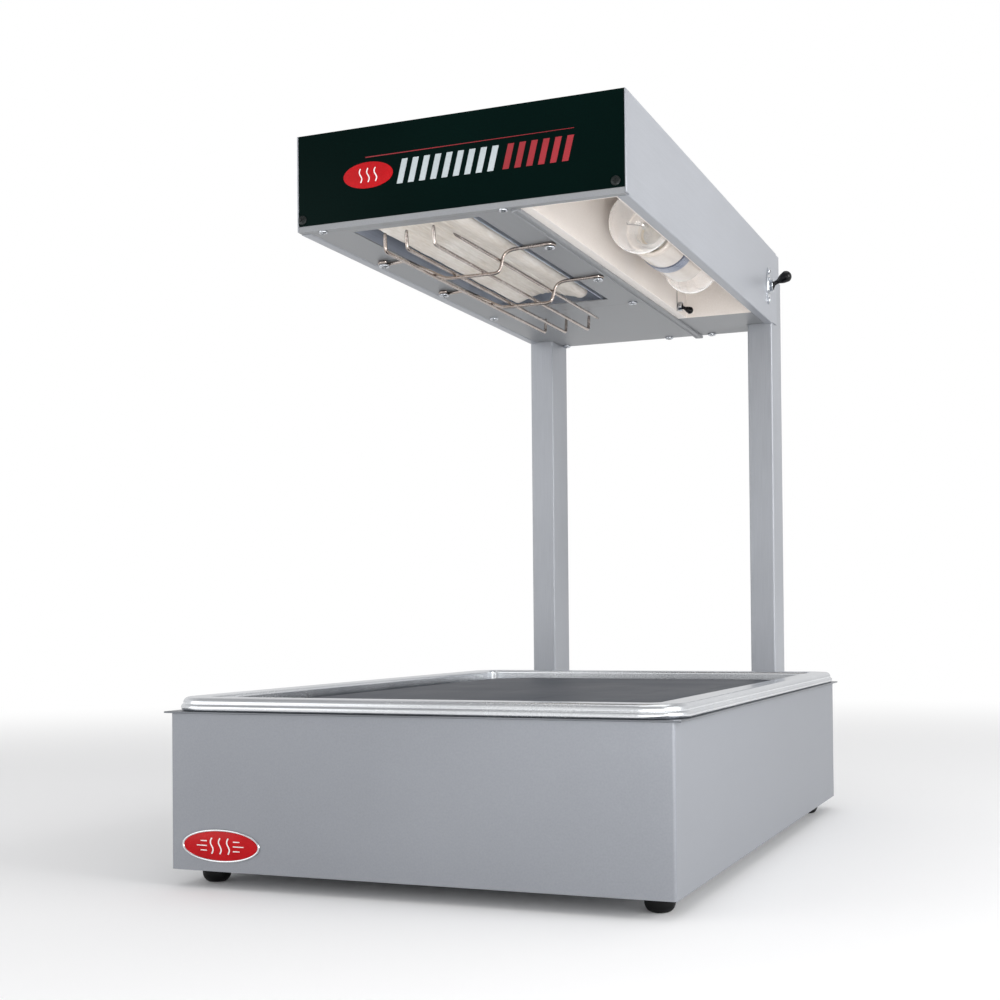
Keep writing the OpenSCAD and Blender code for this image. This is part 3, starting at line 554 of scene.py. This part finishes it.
bezel_w = 1.7 * MM
bm = bmesh.new()
rings = [[bm.verts.new(badge_face @ Vector((x, y, rise)))
          for x, y in oval(badge_w - 2 * inset, badge_h - 2 * inset)]
         for inset, rise in [(0, 0), (0, 0.6 * MM), (0.25 * MM, 1.15 * MM), (0.7 * MM, 1.4 * MM),
                             (1.2 * MM, 1.3 * MM), (bezel_w, 0.9 * MM), (bezel_w, 0)]]
bridge(bm, rings)
finish_piece("badge_bright_rim", bm, "frame", "badge_rim", ("badge_bezel",), sharp=60)

bm = bmesh.new()
dome_rings = []
for k in range(9):
    share = k / 8
    dome_rings.append([
        bm.verts.new(badge_face @ Vector((x, y, (0.8 + 0.9 * (1 - share ** 2.4)) * MM)))
        for x, y in oval((badge_w - 2 * bezel_w) * max(share, 0.02),
                         (badge_h - 2 * bezel_w) * max(share, 0.02))])
bm.faces.new(dome_rings[0])
bridge(bm, dome_rings)
finish_piece("badge_domed_plate", bm, "frame", "badge_red", ("badge_plate",), sharp=60)


def heat_lines(bm, place, height, spacing, count, radius, rise):
    """Upright wavy lines, the usual sign for heat."""
    for i in range(count):
        x = (i - (count - 1) / 2) * spacing
        points = [
            place @ Vector((x + 0.10 * height * math.sin(2 * math.pi * t / 24),
                            (t / 24 - 0.5) * height, rise))
            for t in range(25)]
        tube(bm, points, radius, 10)


bm = bmesh.new()
heat_lines(bm, badge_face, 0.46 * badge_h, 0.105 * badge_w, 3, 0.55 * MM, 1.45 * MM)
for side in (-1, 1):
    for level in (-1, 0, 1):
        reach = (0.30 - 0.05 * abs(level)) * badge_w
        points = [badge_face @ Vector((side * (0.17 * badge_w + t * (reach - 0.17 * badge_w)),
                                       level * 0.14 * badge_h, (1.5 - 0.35 * t) * MM))
                  for t in (0, 0.25, 0.5, 0.75, 1)]
        tube(bm, points, 0.4 * MM, 10)
finish_piece("badge_heat_sign", bm, "frame", "badge_rim", material=white_ink, sharp=60)

# ---- fascia graphics -----------------------------------------------------------------

fascia_low, fascia_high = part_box("front_fascia")
fascia_h = fascia_high.z - fascia_low.z
fascia_face = upright(Vector((0, fascia_low.y, fascia_low.z)))
ink = 0.15 * MM

emblem_x, emblem_z = -68 * MM, 0.47 * fascia_h
stripe_z = 0.665 * fascia_h
bm = bmesh.new()
stripe_left, stripe_right = -70 * MM, 90 * MM
plate(bm, [(stripe_left, stripe_z - 0.35 * MM), (stripe_right, stripe_z - 0.15 * MM),
           (stripe_right, stripe_z + 0.15 * MM), (stripe_left, stripe_z + 0.35 * MM)],
      fascia_face, ink)
block_h = 0.26 * fascia_h
slant = 0.25 * block_h


def slats(bm, start, count, width, gap):
    """A row of equal, plain slanted blocks."""
    for i in range(count):
        x = start + i * (width + gap)
        low = 0.335 * fascia_h
        plate(bm, [(x, low), (x + width, low), (x + width + slant, low + block_h),
                   (x + slant, low + block_h)], fascia_face, ink)


slat_w, slat_gap = 4.6 * MM, 4.2 * MM
slats(bm, 37 * MM, 6, slat_w, slat_gap)
finish_piece("fascia_red_print", bm, "frame", "fascia_gloss", material=red_ink, sharp=40)
bm = bmesh.new()
slats(bm, -45 * MM, 9, slat_w, slat_gap)
finish_piece("fascia_grey_print", bm, "frame", "fascia_gloss", material=grey_ink, sharp=40)
bm = bmesh.new()
emblem_face = fascia_face @ Matrix.Translation((emblem_x, emblem_z, 0))
plate(bm, oval(40 * MM, 19 * MM), emblem_face, ink * 2, 0.1 * MM)
finish_piece("fascia_emblem", bm, "frame", "badge_red", sharp=40)
bm = bmesh.new()
heat_lines(bm, emblem_face, 10 * MM, 6 * MM, 3, 0.45 * MM, ink * 2)
finish_piece("fascia_heat_sign", bm, "frame", "badge_rim", material=white_ink, sharp=60)

# ---- screws --------------------------------------------------------------------------


def domed_head(radius, height, seat=0.0):
    """Profile of a pan head, from its seat to the middle of its top."""
    return [(radius * 0.5, seat), (radius * 0.97, seat), (radius, seat + 0.12 * height),
            (radius, seat + 0.38 * height), (radius * 0.93, seat + 0.66 * height),
            (radius * 0.76, seat + 0.86 * height), (radius * 0.45, seat + 0.97 * height),
            (0, seat + height)]


def cross_cut(template, radius, height):
    """Cuts a cross recess in a screw head that lies on Z = 0."""
    cutter = bmesh.new()
    for spin in (0, math.pi / 2):
        place = Matrix.Translation((0, 0, height * 0.42)) @ Matrix.Rotation(spin, 4, "Z")
        arm, half = radius * 0.58, radius * 0.11
        plate(cutter, [(-arm, -half), (arm, -half), (arm, half), (-arm, half)], place, height)
    cut_mesh = bpy.data.meshes.new("cutter")
    cutter.to_mesh(cut_mesh)
    cutter.free()
    cut_piece = bpy.data.objects.new("cutter", cut_mesh)
    head_mesh = bpy.data.meshes.new("head")
    template.to_mesh(head_mesh)
    template.free()
    head_piece = bpy.data.objects.new("head", head_mesh)
    for o in (cut_piece, head_piece):
        bpy.context.scene.collection.objects.link(o)
    cut = head_piece.modifiers.new("cut", "BOOLEAN")
    cut.operation = "DIFFERENCE"
    cut.solver = "EXACT"
    cut.use_self = True
    cut.object = cut_piece
    bpy.context.view_layer.update()
    shaped = bpy.data.meshes.new_from_object(
        head_piece.evaluated_get(bpy.context.evaluated_depsgraph_get()))
    for o in (cut_piece, head_piece):
        bpy.data.objects.remove(o)
    return shaped


def screw_mesh(radius, height):
    template = bmesh.new()
    turn(template, [(0, 0)] + domed_head(radius, height), 40)
    bmesh.ops.recalc_face_normals(template, faces=template.faces)
    return cross_cut(template, radius, height)


def screws(name, node, places, radius, height):
    """A group of cross-recess screws that stands for a CAD node."""
    shaped = screw_mesh(radius * MM, height * MM)
    bm = bmesh.new()
    for place in places:
        one = bmesh.new()
        one.from_mesh(shaped)
        bmesh.ops.transform(one, matrix=place, verts=one.verts)
        moved = bpy.data.meshes.new("moved")
        one.to_mesh(moved)
        one.free()
        bm.from_mesh(moved)
        bpy.data.meshes.remove(moved)
    bpy.data.meshes.remove(shaped)
    return finish_piece(name, bm, body_of[node], slot_of[node], (node,), sharp=40)


def solids_of(node):
    """The box of each separate solid of a CAD node, sorted by its lowest corner."""
    bm = copied(node)
    left, boxes = set(bm.verts), []
    while left:
        group, edge = set(), [next(iter(left))]
        while edge:
            v = edge.pop()
            if v in group:
                continue
            group.add(v)
            edge += [e.other_vert(v) for e in v.link_edges]
        left -= group
        low = Vector([min(v.co[i] for v in group) for i in range(3)])
        high = Vector([max(v.co[i] for v in group) for i in range(3)])
        boxes.append((low, high))
    bm.free()
    return sorted(boxes, key=lambda b: tuple(b[0]))


panel_places = []
for i, (low, high) in enumerate(solids_of("panel_screws")):
    seat = Vector(((low.x + high.x) / 2, (low.y + high.y) / 2, underside))
    scale = (high.x - low.x) / (8.4 * MM)
    panel_places.append(facing(seat, (0, 0, -1), 0.7 * i) @ Matrix.Scale(scale, 4))
screws("panel_screws_domed", "panel_screws", panel_places, 4.2, 2.4)

guard_places = []
for i, (low, high) in enumerate(solids_of("guard_screws")):
    seat = Vector(((low.x + high.x) / 2, (low.y + high.y) / 2, low.z + 2.2 * MM))
    guard_places.append(facing(seat, (0, 0, -1), 0.4 + 0.9 * i))
screws("guard_screws_domed", "guard_screws", guard_places, 4.4, 2.2)

fascia_places = []
for i, (low, high) in enumerate(solids_of("fascia_screws")):
    seat = Vector(((low.x + high.x) / 2, fascia_low.y, (low.z + high.z) / 2))
    fascia_places.append(facing(seat, (0, -1, 0), 0.5 + i))
screws("fascia_screws_domed", "fascia_screws", fascia_places, 3.4, 1.3)

switch_places = []
for i, (low, high) in enumerate(solids_of("power_switch_screws")):
    seat = Vector((high.x - 1.6 * MM, (low.y + high.y) / 2, (low.z + high.z) / 2))
    switch_places.append(facing(seat, (1, 0, 0), 0.3 + i))
screws("power_switch_screws_domed", "power_switch_screws", switch_places, 3.0, 1.6)

cover_places = []
for i, (low, high) in enumerate(solids_of("rear_cover_screws")):
    seat = Vector(((low.x + high.x) / 2, high.y - 2 * MM, (low.z + high.z) / 2))
    cover_places.append(facing(seat, (0, 1, 0), 0.2 + i))
screws("rear_cover_screws_domed", "rear_cover_screws", cover_places, 3.6, 2.0)

# ---- heater --------------------------------------------------------------------------

emitter_low, emitter_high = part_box("ceramic_emitter")
emitter_length = emitter_high.y - emitter_low.y
emitter_rise = 3.8
profile = rounded(
    [(-75, 0.9, 0), (-74.2, 0.1, 0), (-63.4, 3.5, 0), (-62.2, 4.6, 0), (-51.6, 7.2, 0),
     (-50.4, 6.2, 0), (-48, 7.3, 0), (-38.4, 7.8, 0), (-36.8, 6.8, 0), (-31, 4.9, 0),
     (-23, 2.6, 0), (-16.8, 1.6, 0), (-15.4, 0.3, 0), (-11, 0.0, 0), (-7.5, 1.2, 0),
     (-5.5, 4, 0), (-6, 8, 0), (-14, 12.5, 0), (-28, 16.5, 0), (-42, 17.8, 0),
     (-56, 16, 0), (-68, 11, 0), (-75.6, 4.8, 0), (-75, 0.9, 0)], 1.0, 3)[:-1]
bm = bmesh.new()
rings = []
stations = 60
for k in range(stations + 1):
    share = k / stations
    y = emitter_low.y + share * emitter_length
    end = min(share, 1 - share) * emitter_length
    pinch = 0.8 * MM * max(0.0, 1 - end / (1.5 * MM)) ** 2
    rings.append([])
    for p in profile:
        wave = 0.18 * math.sin(31 * share + 0.06 * p.x) + 0.1 * math.sin(83 * share + 0.2 * p.x)
        inward = Vector((-42, 0, 10)) - Vector((p.x, 0, p.y))
        spot = Vector((p.x * MM, y, underside + (emitter_rise + p.y + wave) * MM))
        rings[-1].append(bm.verts.new(spot + inward.normalized() * pinch))
bridge(bm, rings)
bm.faces.new(rings[0])
bm.faces.new(rings[-1])
for x, z, radius in ((-56.5, 11.2, 2.0), (-43.5, 12.7, 2.0), (-27, 8.8, 2.0)):
    points = [Vector((x * MM, emitter_low.y + (0.004 + 0.992 * t / 24) * emitter_length,
                      underside + (z + 0.15 * math.sin(1.7 * t)) * MM)) for t in range(25)]
    tube(bm, points, radius * MM, 20)
finish_piece("emitter_cast", bm, "frame", "emitter_ceramic", ("ceramic_emitter",), sharp=48)


def round_wire(node):
    """A guard wire like its CAD node, with a truly round section."""
    bm = welded(node, 0.002)
    piece = finish_piece(node + "_drawn", bm, body_of[node], slot_of[node], (node,), sharp=60)
    smooth = piece.modifiers.new("round", "SUBSURF")
    smooth.levels = smooth.render_levels = 1
    return piece


round_wire("guard_crossbars")
round_wire("guard_wires")
round_wire("wire_harness")

# ---- display lamps -------------------------------------------------------------------

lamp_mid = middle("lamp_bracket")
glass_low, glass_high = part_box("front_bulb_glass")
lamp_axis = Vector(((glass_low.x + glass_high.x) / 2, lamp_mid.y, (glass_low.z + glass_high.z) / 2))
globe_r = (glass_high.x - glass_low.x) / 2
globe_reach = lamp_axis.y - glass_low.y - globe_r
neck_r = 12.6 * MM
neck_z = 35 * MM
flare = rounded([(neck_r, 44 * MM, 0), (neck_r, 54 * MM, 0), (0.80 * globe_r, globe_reach - 15.5 * MM, 0)],
                9 * MM, 8)
globe = [(globe_r * math.cos(a), globe_reach + globe_r * math.sin(a))
         for a in (math.radians(-38 + k * 128 / 28) for k in range(29))]
outer = [(neck_r, neck_z)] + [(p.x, p.y) for p in flare[:-1]] + globe[:-1] + [(0, globe_reach + globe_r)]
holder_profile = rounded(
    [(19.2, 0.4, 0), (20, 1.2, 0), (20, 8.5, 0), (21, 9.2, 0), (21, 46.5, 0), (20.4, 48.6, 0),
     (19.0, 49.5, 0), (17.4, 49.2, 0), (15.4, 42, 0), (13.8, 34, 0), (13.8, 11.2, 0)], 0.8, 3)
for side, label in ((-1, "front"), (1, "rear")):
    place = facing(lamp_axis, (0, side, 0))
    bm = bmesh.new()
    turn(bm, [(r, h) for r, h in outer], 72, place)
    glass = finish_piece(label + "_bulb", bm, "frame", "bulb_glass", (label + "_bulb_glass",), sharp=70)
    wall = glass.modifiers.new("wall", "SOLIDIFY")
    wall.thickness = 0.8 * MM
    wall.offset = -1
    bm = bmesh.new()
    ridges = [(p.x * MM, p.y * MM) for p in holder_profile]
    turn(bm, [(0, 0.4 * MM)] + ridges + [(0, 11.2 * MM)], 72, place)
    finish_piece(label + "_holder", bm, "frame", "porcelain", (label + "_lampholder",), sharp=50)

bm = bmesh.new()
wires = bmesh.new()
for side in (-1, 1):
    place = facing(lamp_axis, (0, side, 0))
    stem = rounded([(9.5, 35.5, 0), (7.5, 38, 0), (3.4, 44, 0), (2.3, 50, 0), (2.2, 60, 0), (3.0, 62.5, 0),
                    (1.6, 64.5, 0), (0, 65, 0)], 1.2, 3)
    turn(bm, [(0, 35.5 * MM)] + [(p.x * MM, p.y * MM) for p in stem[:-1]] + [(0, 65 * MM)], 32, place)
    for s in (-1, 1):
        lead = rounded([(s * 1.6, 0, 60), (s * 2.4, 0, 66), (s * 10, 0, 74), (s * 11, 0, 76.4)], 2.5, 4)
        tube(wires, [place @ (p * MM) for p in lead], 0.35 * MM, 8)
    coil = []
    turns, steps = 22, 10
    for k in range(turns * steps + 1):
        share = k / (turns * steps)
        a = 2 * math.pi * k / steps
        bow = 4.5 * math.sin(math.pi * share)
        loop = Vector((22 * (share - 0.5), 0.9 * math.cos(a), 76.4 - bow + 0.9 * math.sin(a)))
        coil.append(place @ (loop * MM))
    tube(wires, coil, 0.22 * MM, 6)
finish_piece("lamp_stems", bm, "frame", "filament_mount", ("lamp_filaments",), sharp=60)
finish_piece("lamp_coils", wires, "frame", "filament_mount", material=tungsten, sharp=60)
folded("lamp_bracket", 0.4, 10)

switch_pivot = Vector(joints["lamp_switch"]["pos_m"])
wall_x = switch_pivot.x - 2.2 * MM
# A thin dark tube up the lamp trough's inner corner, beside the lamp switch: painted shade where the two walls
# meet.
bm = bmesh.new()
corner_shade_points = [Vector((wall_x, switch_pivot.y - 5.5 * MM, underside + z * MM)) for z in (0.5, 12, 24, 34)]
tube(bm, corner_shade_points, 0.45 * MM, 10)
finish_piece("trough_corner_shade_line", bm, "frame", "black_plastic", material=painted_corner_shade, sharp=60)

# ---- switches ------------------------------------------------------------------------


def bat(ball, root, tip, reach):
    """Profile of a bat lever that grows from a ball at its pivot to a round tip."""
    lower = arc((0, 0), ball, -90, 55, 12)
    neck = [(root, ball * 1.12), (root * 1.02, reach * 0.45), (tip * 0.80, reach * 0.74)]
    upper = arc((0, 0), tip, 8, 90, 12)
    points = [(r, h) for r, h in lower] + neck + [(r, reach + h) for r, h in upper]
    smooth = rounded([(r, h, 0) for r, h in points], 1.2, 3)
    return [(0, -ball * MM)] + [(p.x * MM, p.y * MM) for p in smooth[1:-1]] + [(0, (reach + tip) * MM)]


for joint, node, name, shape in (
    ("power_switch", "power_switch_lever", "power_bat", (3.9, 2.0, 5.6, 15.8)),
    ("lamp_switch", "lamp_switch_lever", "lamp_bat", (2.5, 1.4, 3.4, 9.5)),
):
    pivot = Vector(joints[joint]["pos_m"])
    low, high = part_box(node)
    tip_z = high.z - shape[2] * MM if high.z - pivot.z > pivot.z - low.z else low.z + shape[2] * MM
    rise = (tip_z - pivot.z) / (shape[3] * MM)
    aim = Vector((math.sqrt(1 - rise * rise), 0, rise))
    bm = bmesh.new()
    turn(bm, bat(*shape), 48, facing(pivot, aim))
    finish_piece(name, bm, body_of[node], slot_of[node], (node,), sharp=70)

pivot = Vector(joints["power_switch"]["pos_m"])
thread = [(4.6, -6.0), (6.0, -6.0)]
level = -6.0
while level < 1.8:
    thread += [(6.1, level + 0.2), (5.65, level + 0.5)]
    level += 0.6
thread += [(6.0, 2.2), (5.8, 2.4), (4.9, 2.4), (4.5, 2.1), (4.5, -4.5), (0, -4.5)]
bm = bmesh.new()
turn(bm, [(r * MM, h * MM) for r, h in thread], 48, facing(pivot, (1, 0, 0)))
nut = [(8.0 * MM * math.cos(math.radians(60 * k + 12)), 8.0 * MM * math.sin(math.radians(60 * k + 12)))
       for k in range(6)]
plate(bm, nut, facing(pivot - Vector((2.0 * MM, 0, 0)), (1, 0, 0)), 1.5 * MM, 0.25 * MM)
finish_piece("power_bushing_threaded", bm, "frame", "switch_chrome", ("power_switch_bushing",), sharp=30)

# ---- gland ---------------------------------------------------------------------------

gland_low, gland_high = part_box("cord_gland")
gland_mid = Vector(((gland_low.x + gland_high.x) / 2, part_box("rear_cover")[1].y,
                    (gland_low.z + gland_high.z) / 2))
gland_place = facing(gland_mid, (0, 1, 0))
bore = 5.0
bm = bmesh.new()
hexagon = [(12.4 * MM * math.cos(math.radians(60 * k)), 12.4 * MM * math.sin(math.radians(60 * k)))
           for k in range(6)]
inner = [(bore, 17.0), (bore + 0.5, 17.0), (7.3, 16.9), (8.6, 15.4), (9.6, 13.4), (10.2, 12.4), (10.2, 6.2),
         (9.4, 6.0), (9.4, 0.2), (8.0, 0), (8.0, -7.6), (7.6, -8), (bore, -8)]
turn(bm, [(r * MM, h * MM) for r, h in inner + inner[:1]], 60, gland_place)
for k in range(6):
    a, b = hexagon[k], hexagon[(k + 1) % 6]
    plate(bm, [(a[0] * 0.74, a[1] * 0.74), a, b, (b[0] * 0.74, b[1] * 0.74)], gland_place, 6 * MM, 0.4 * MM)
for k in range(24):
    a = math.radians(15 * k)
    rib = [gland_place @ Vector((10.2 * MM * math.cos(a), 10.2 * MM * math.sin(a), h * MM))
           for h in (6.8, 9, 12.2)]
    tube(bm, rib, 0.5 * MM, 8)
finish_piece("cord_gland_ribbed", bm, "frame", "black_plastic", ("cord_gland",), sharp=35)

# ---- studio --------------------------------------------------------------------------

floor_bm = bmesh.new()
turn(floor_bm, [(0, 0), (0.5, 0), (1.5, 0), (4, 0), (12, 0)], 96)
floor_mesh = bpy.data.meshes.new("studio_floor")
floor_bm.to_mesh(floor_mesh)
floor_bm.free()
floor = bpy.data.objects.new("studio_floor", floor_mesh)
bpy.context.scene.collection.objects.link(floor)

paper = bpy.data.materials.new("studio_paper")
paper.use_nodes = True
tree = paper.node_tree
matt = tree.nodes["Principled BSDF"]
matt.inputs["Base Color"].default_value = (0.93, 0.93, 0.93, 1)
matt.inputs["Roughness"].default_value = 0.9
matt.inputs["Specular IOR Level"].default_value = 0.1
glow = tree.nodes.new("ShaderNodeEmission")
glow.inputs["Strength"].default_value = 1.0
fade = tree.nodes.new("ShaderNodeMapRange")
length = tree.nodes.new("ShaderNodeVectorMath")
length.operation = "LENGTH"
place = tree.nodes.new("ShaderNodeNewGeometry")
mixer = tree.nodes.new("ShaderNodeMixShader")
tree.links.new(place.outputs["Position"], length.inputs[0])
tree.links.new(length.outputs["Value"], fade.inputs["Value"])
fade.inputs["From Min"].default_value = 0.6
fade.inputs["From Max"].default_value = 2.2
fade.interpolation_type = "SMOOTHSTEP"
tree.links.new(fade.outputs["Result"], mixer.inputs["Fac"])
tree.links.new(matt.outputs["BSDF"], mixer.inputs[1])
tree.links.new(glow.outputs["Emission"], mixer.inputs[2])
tree.links.new(mixer.outputs["Shader"], tree.nodes["Material Output"].inputs["Surface"])
floor_mesh.materials.append(paper)

world = bpy.data.worlds.new("studio_world")
bpy.context.scene.world = world
world.use_nodes = True
tree = world.node_tree
backdrop = tree.nodes["Background"]
backdrop.inputs["Color"].default_value = (1, 1, 1, 1)
ambient = tree.nodes.new("ShaderNodeBackground")
ray = tree.nodes.new("ShaderNodeLightPath")
mixer = tree.nodes.new("ShaderNodeMixShader")
heights = tree.nodes.new("ShaderNodeTexCoord")
split = tree.nodes.new("ShaderNodeSeparateXYZ")
ramp = tree.nodes.new("ShaderNodeValToRGB")
tree.links.new(heights.outputs["Generated"], split.inputs["Vector"])
lift = tree.nodes.new("ShaderNodeMapRange")
lift.inputs["From Min"].default_value = -1
tree.links.new(split.outputs["Z"], lift.inputs["Value"])
tree.links.new(lift.outputs["Result"], ramp.inputs["Fac"])
stops = ramp.color_ramp.elements
stops[0].position, stops[0].color = 0.0, (0.8, 0.8, 0.8, 1)
stops[1].position, stops[1].color = 1.0, (0.55, 0.55, 0.56, 1)
for position, value in ((0.49, 1.0), (0.53, 1.2), (0.60, 1.3), (0.68, 1.3), (0.84, 0.9)):
    stop = stops.new(position)
    stop.color = (value, value, value * 1.01, 1)
tree.links.new(ramp.outputs["Color"], ambient.inputs["Color"])
ambient.inputs["Strength"].default_value = 0.62
tree.links.new(ray.outputs["Is Camera Ray"], mixer.inputs["Fac"])
tree.links.new(ambient.outputs["Background"], mixer.inputs[1])
tree.links.new(backdrop.outputs["Background"], mixer.inputs[2])
tree.links.new(mixer.outputs["Shader"], tree.nodes["World Output"].inputs["Surface"])


def softbox(name, spot, target, size, power, spread=180):
    lamp = bpy.data.lights.new(name, "AREA")
    lamp.shape = "RECTANGLE"
    lamp.size, lamp.size_y = size
    lamp.energy = power
    lamp.spread = math.radians(spread)
    holder = bpy.data.objects.new(name, lamp)
    bpy.context.scene.collection.objects.link(holder)
    holder.location = spot
    holder.rotation_euler = (Vector(target) - Vector(spot)).to_track_quat("-Z", "Y").to_euler()
    holder.visible_camera = False
    return holder


centre = Vector((0, 0, 0.25))
softbox("key_right", (1.9, -0.25, 0.75), centre, (1.2, 1.2), 22)
softbox("front_fill", (-1.3, -1.3, 0.5), centre, (1.2, 1.0), 5.5)
softbox("catch_light", (0.45, -0.75, 0.10), Vector((0.09, -0.1, 0.48)), (0.07, 0.07), 0.22, spread=70)
softbox("top_soft", (0.2, 0.1, 2.4), centre, (2.0, 2.0), 14)
softbox("low_lift", (0.5, -0.9, 0.16), Vector((0.05, 0, 0.5)), (1.0, 0.25), 2.5)

# ---- camera --------------------------------------------------------------------------

yaw, pitch, roll_angle = (math.radians(a) for a in (22.275, 0.770, -0.507))
forward = Vector((-math.sin(yaw) * math.cos(pitch), math.cos(yaw) * math.cos(pitch), math.sin(pitch)))
right = Vector((math.cos(yaw), math.sin(yaw), 0))
up = right.cross(forward)
right_rolled = right * math.cos(roll_angle) + up * math.sin(roll_angle)
up_rolled = up * math.cos(roll_angle) - right * math.sin(roll_angle)
lens = bpy.data.cameras.new("photo_view")
lens.sensor_width = 36
lens.lens = 52.77
lens.shift_y = 0.10
lens.clip_end = 50
camera = bpy.data.objects.new("photo_view", lens)
bpy.context.scene.collection.objects.link(camera)
turned = Matrix((right_rolled, up_rolled, -forward)).transposed().to_4x4()
camera.matrix_world = Matrix.Translation((0.4185, -1.163, 0.1828)) @ turned
bpy.context.scene.camera = camera
bpy.context.scene.view_settings.view_transform = "Standard"
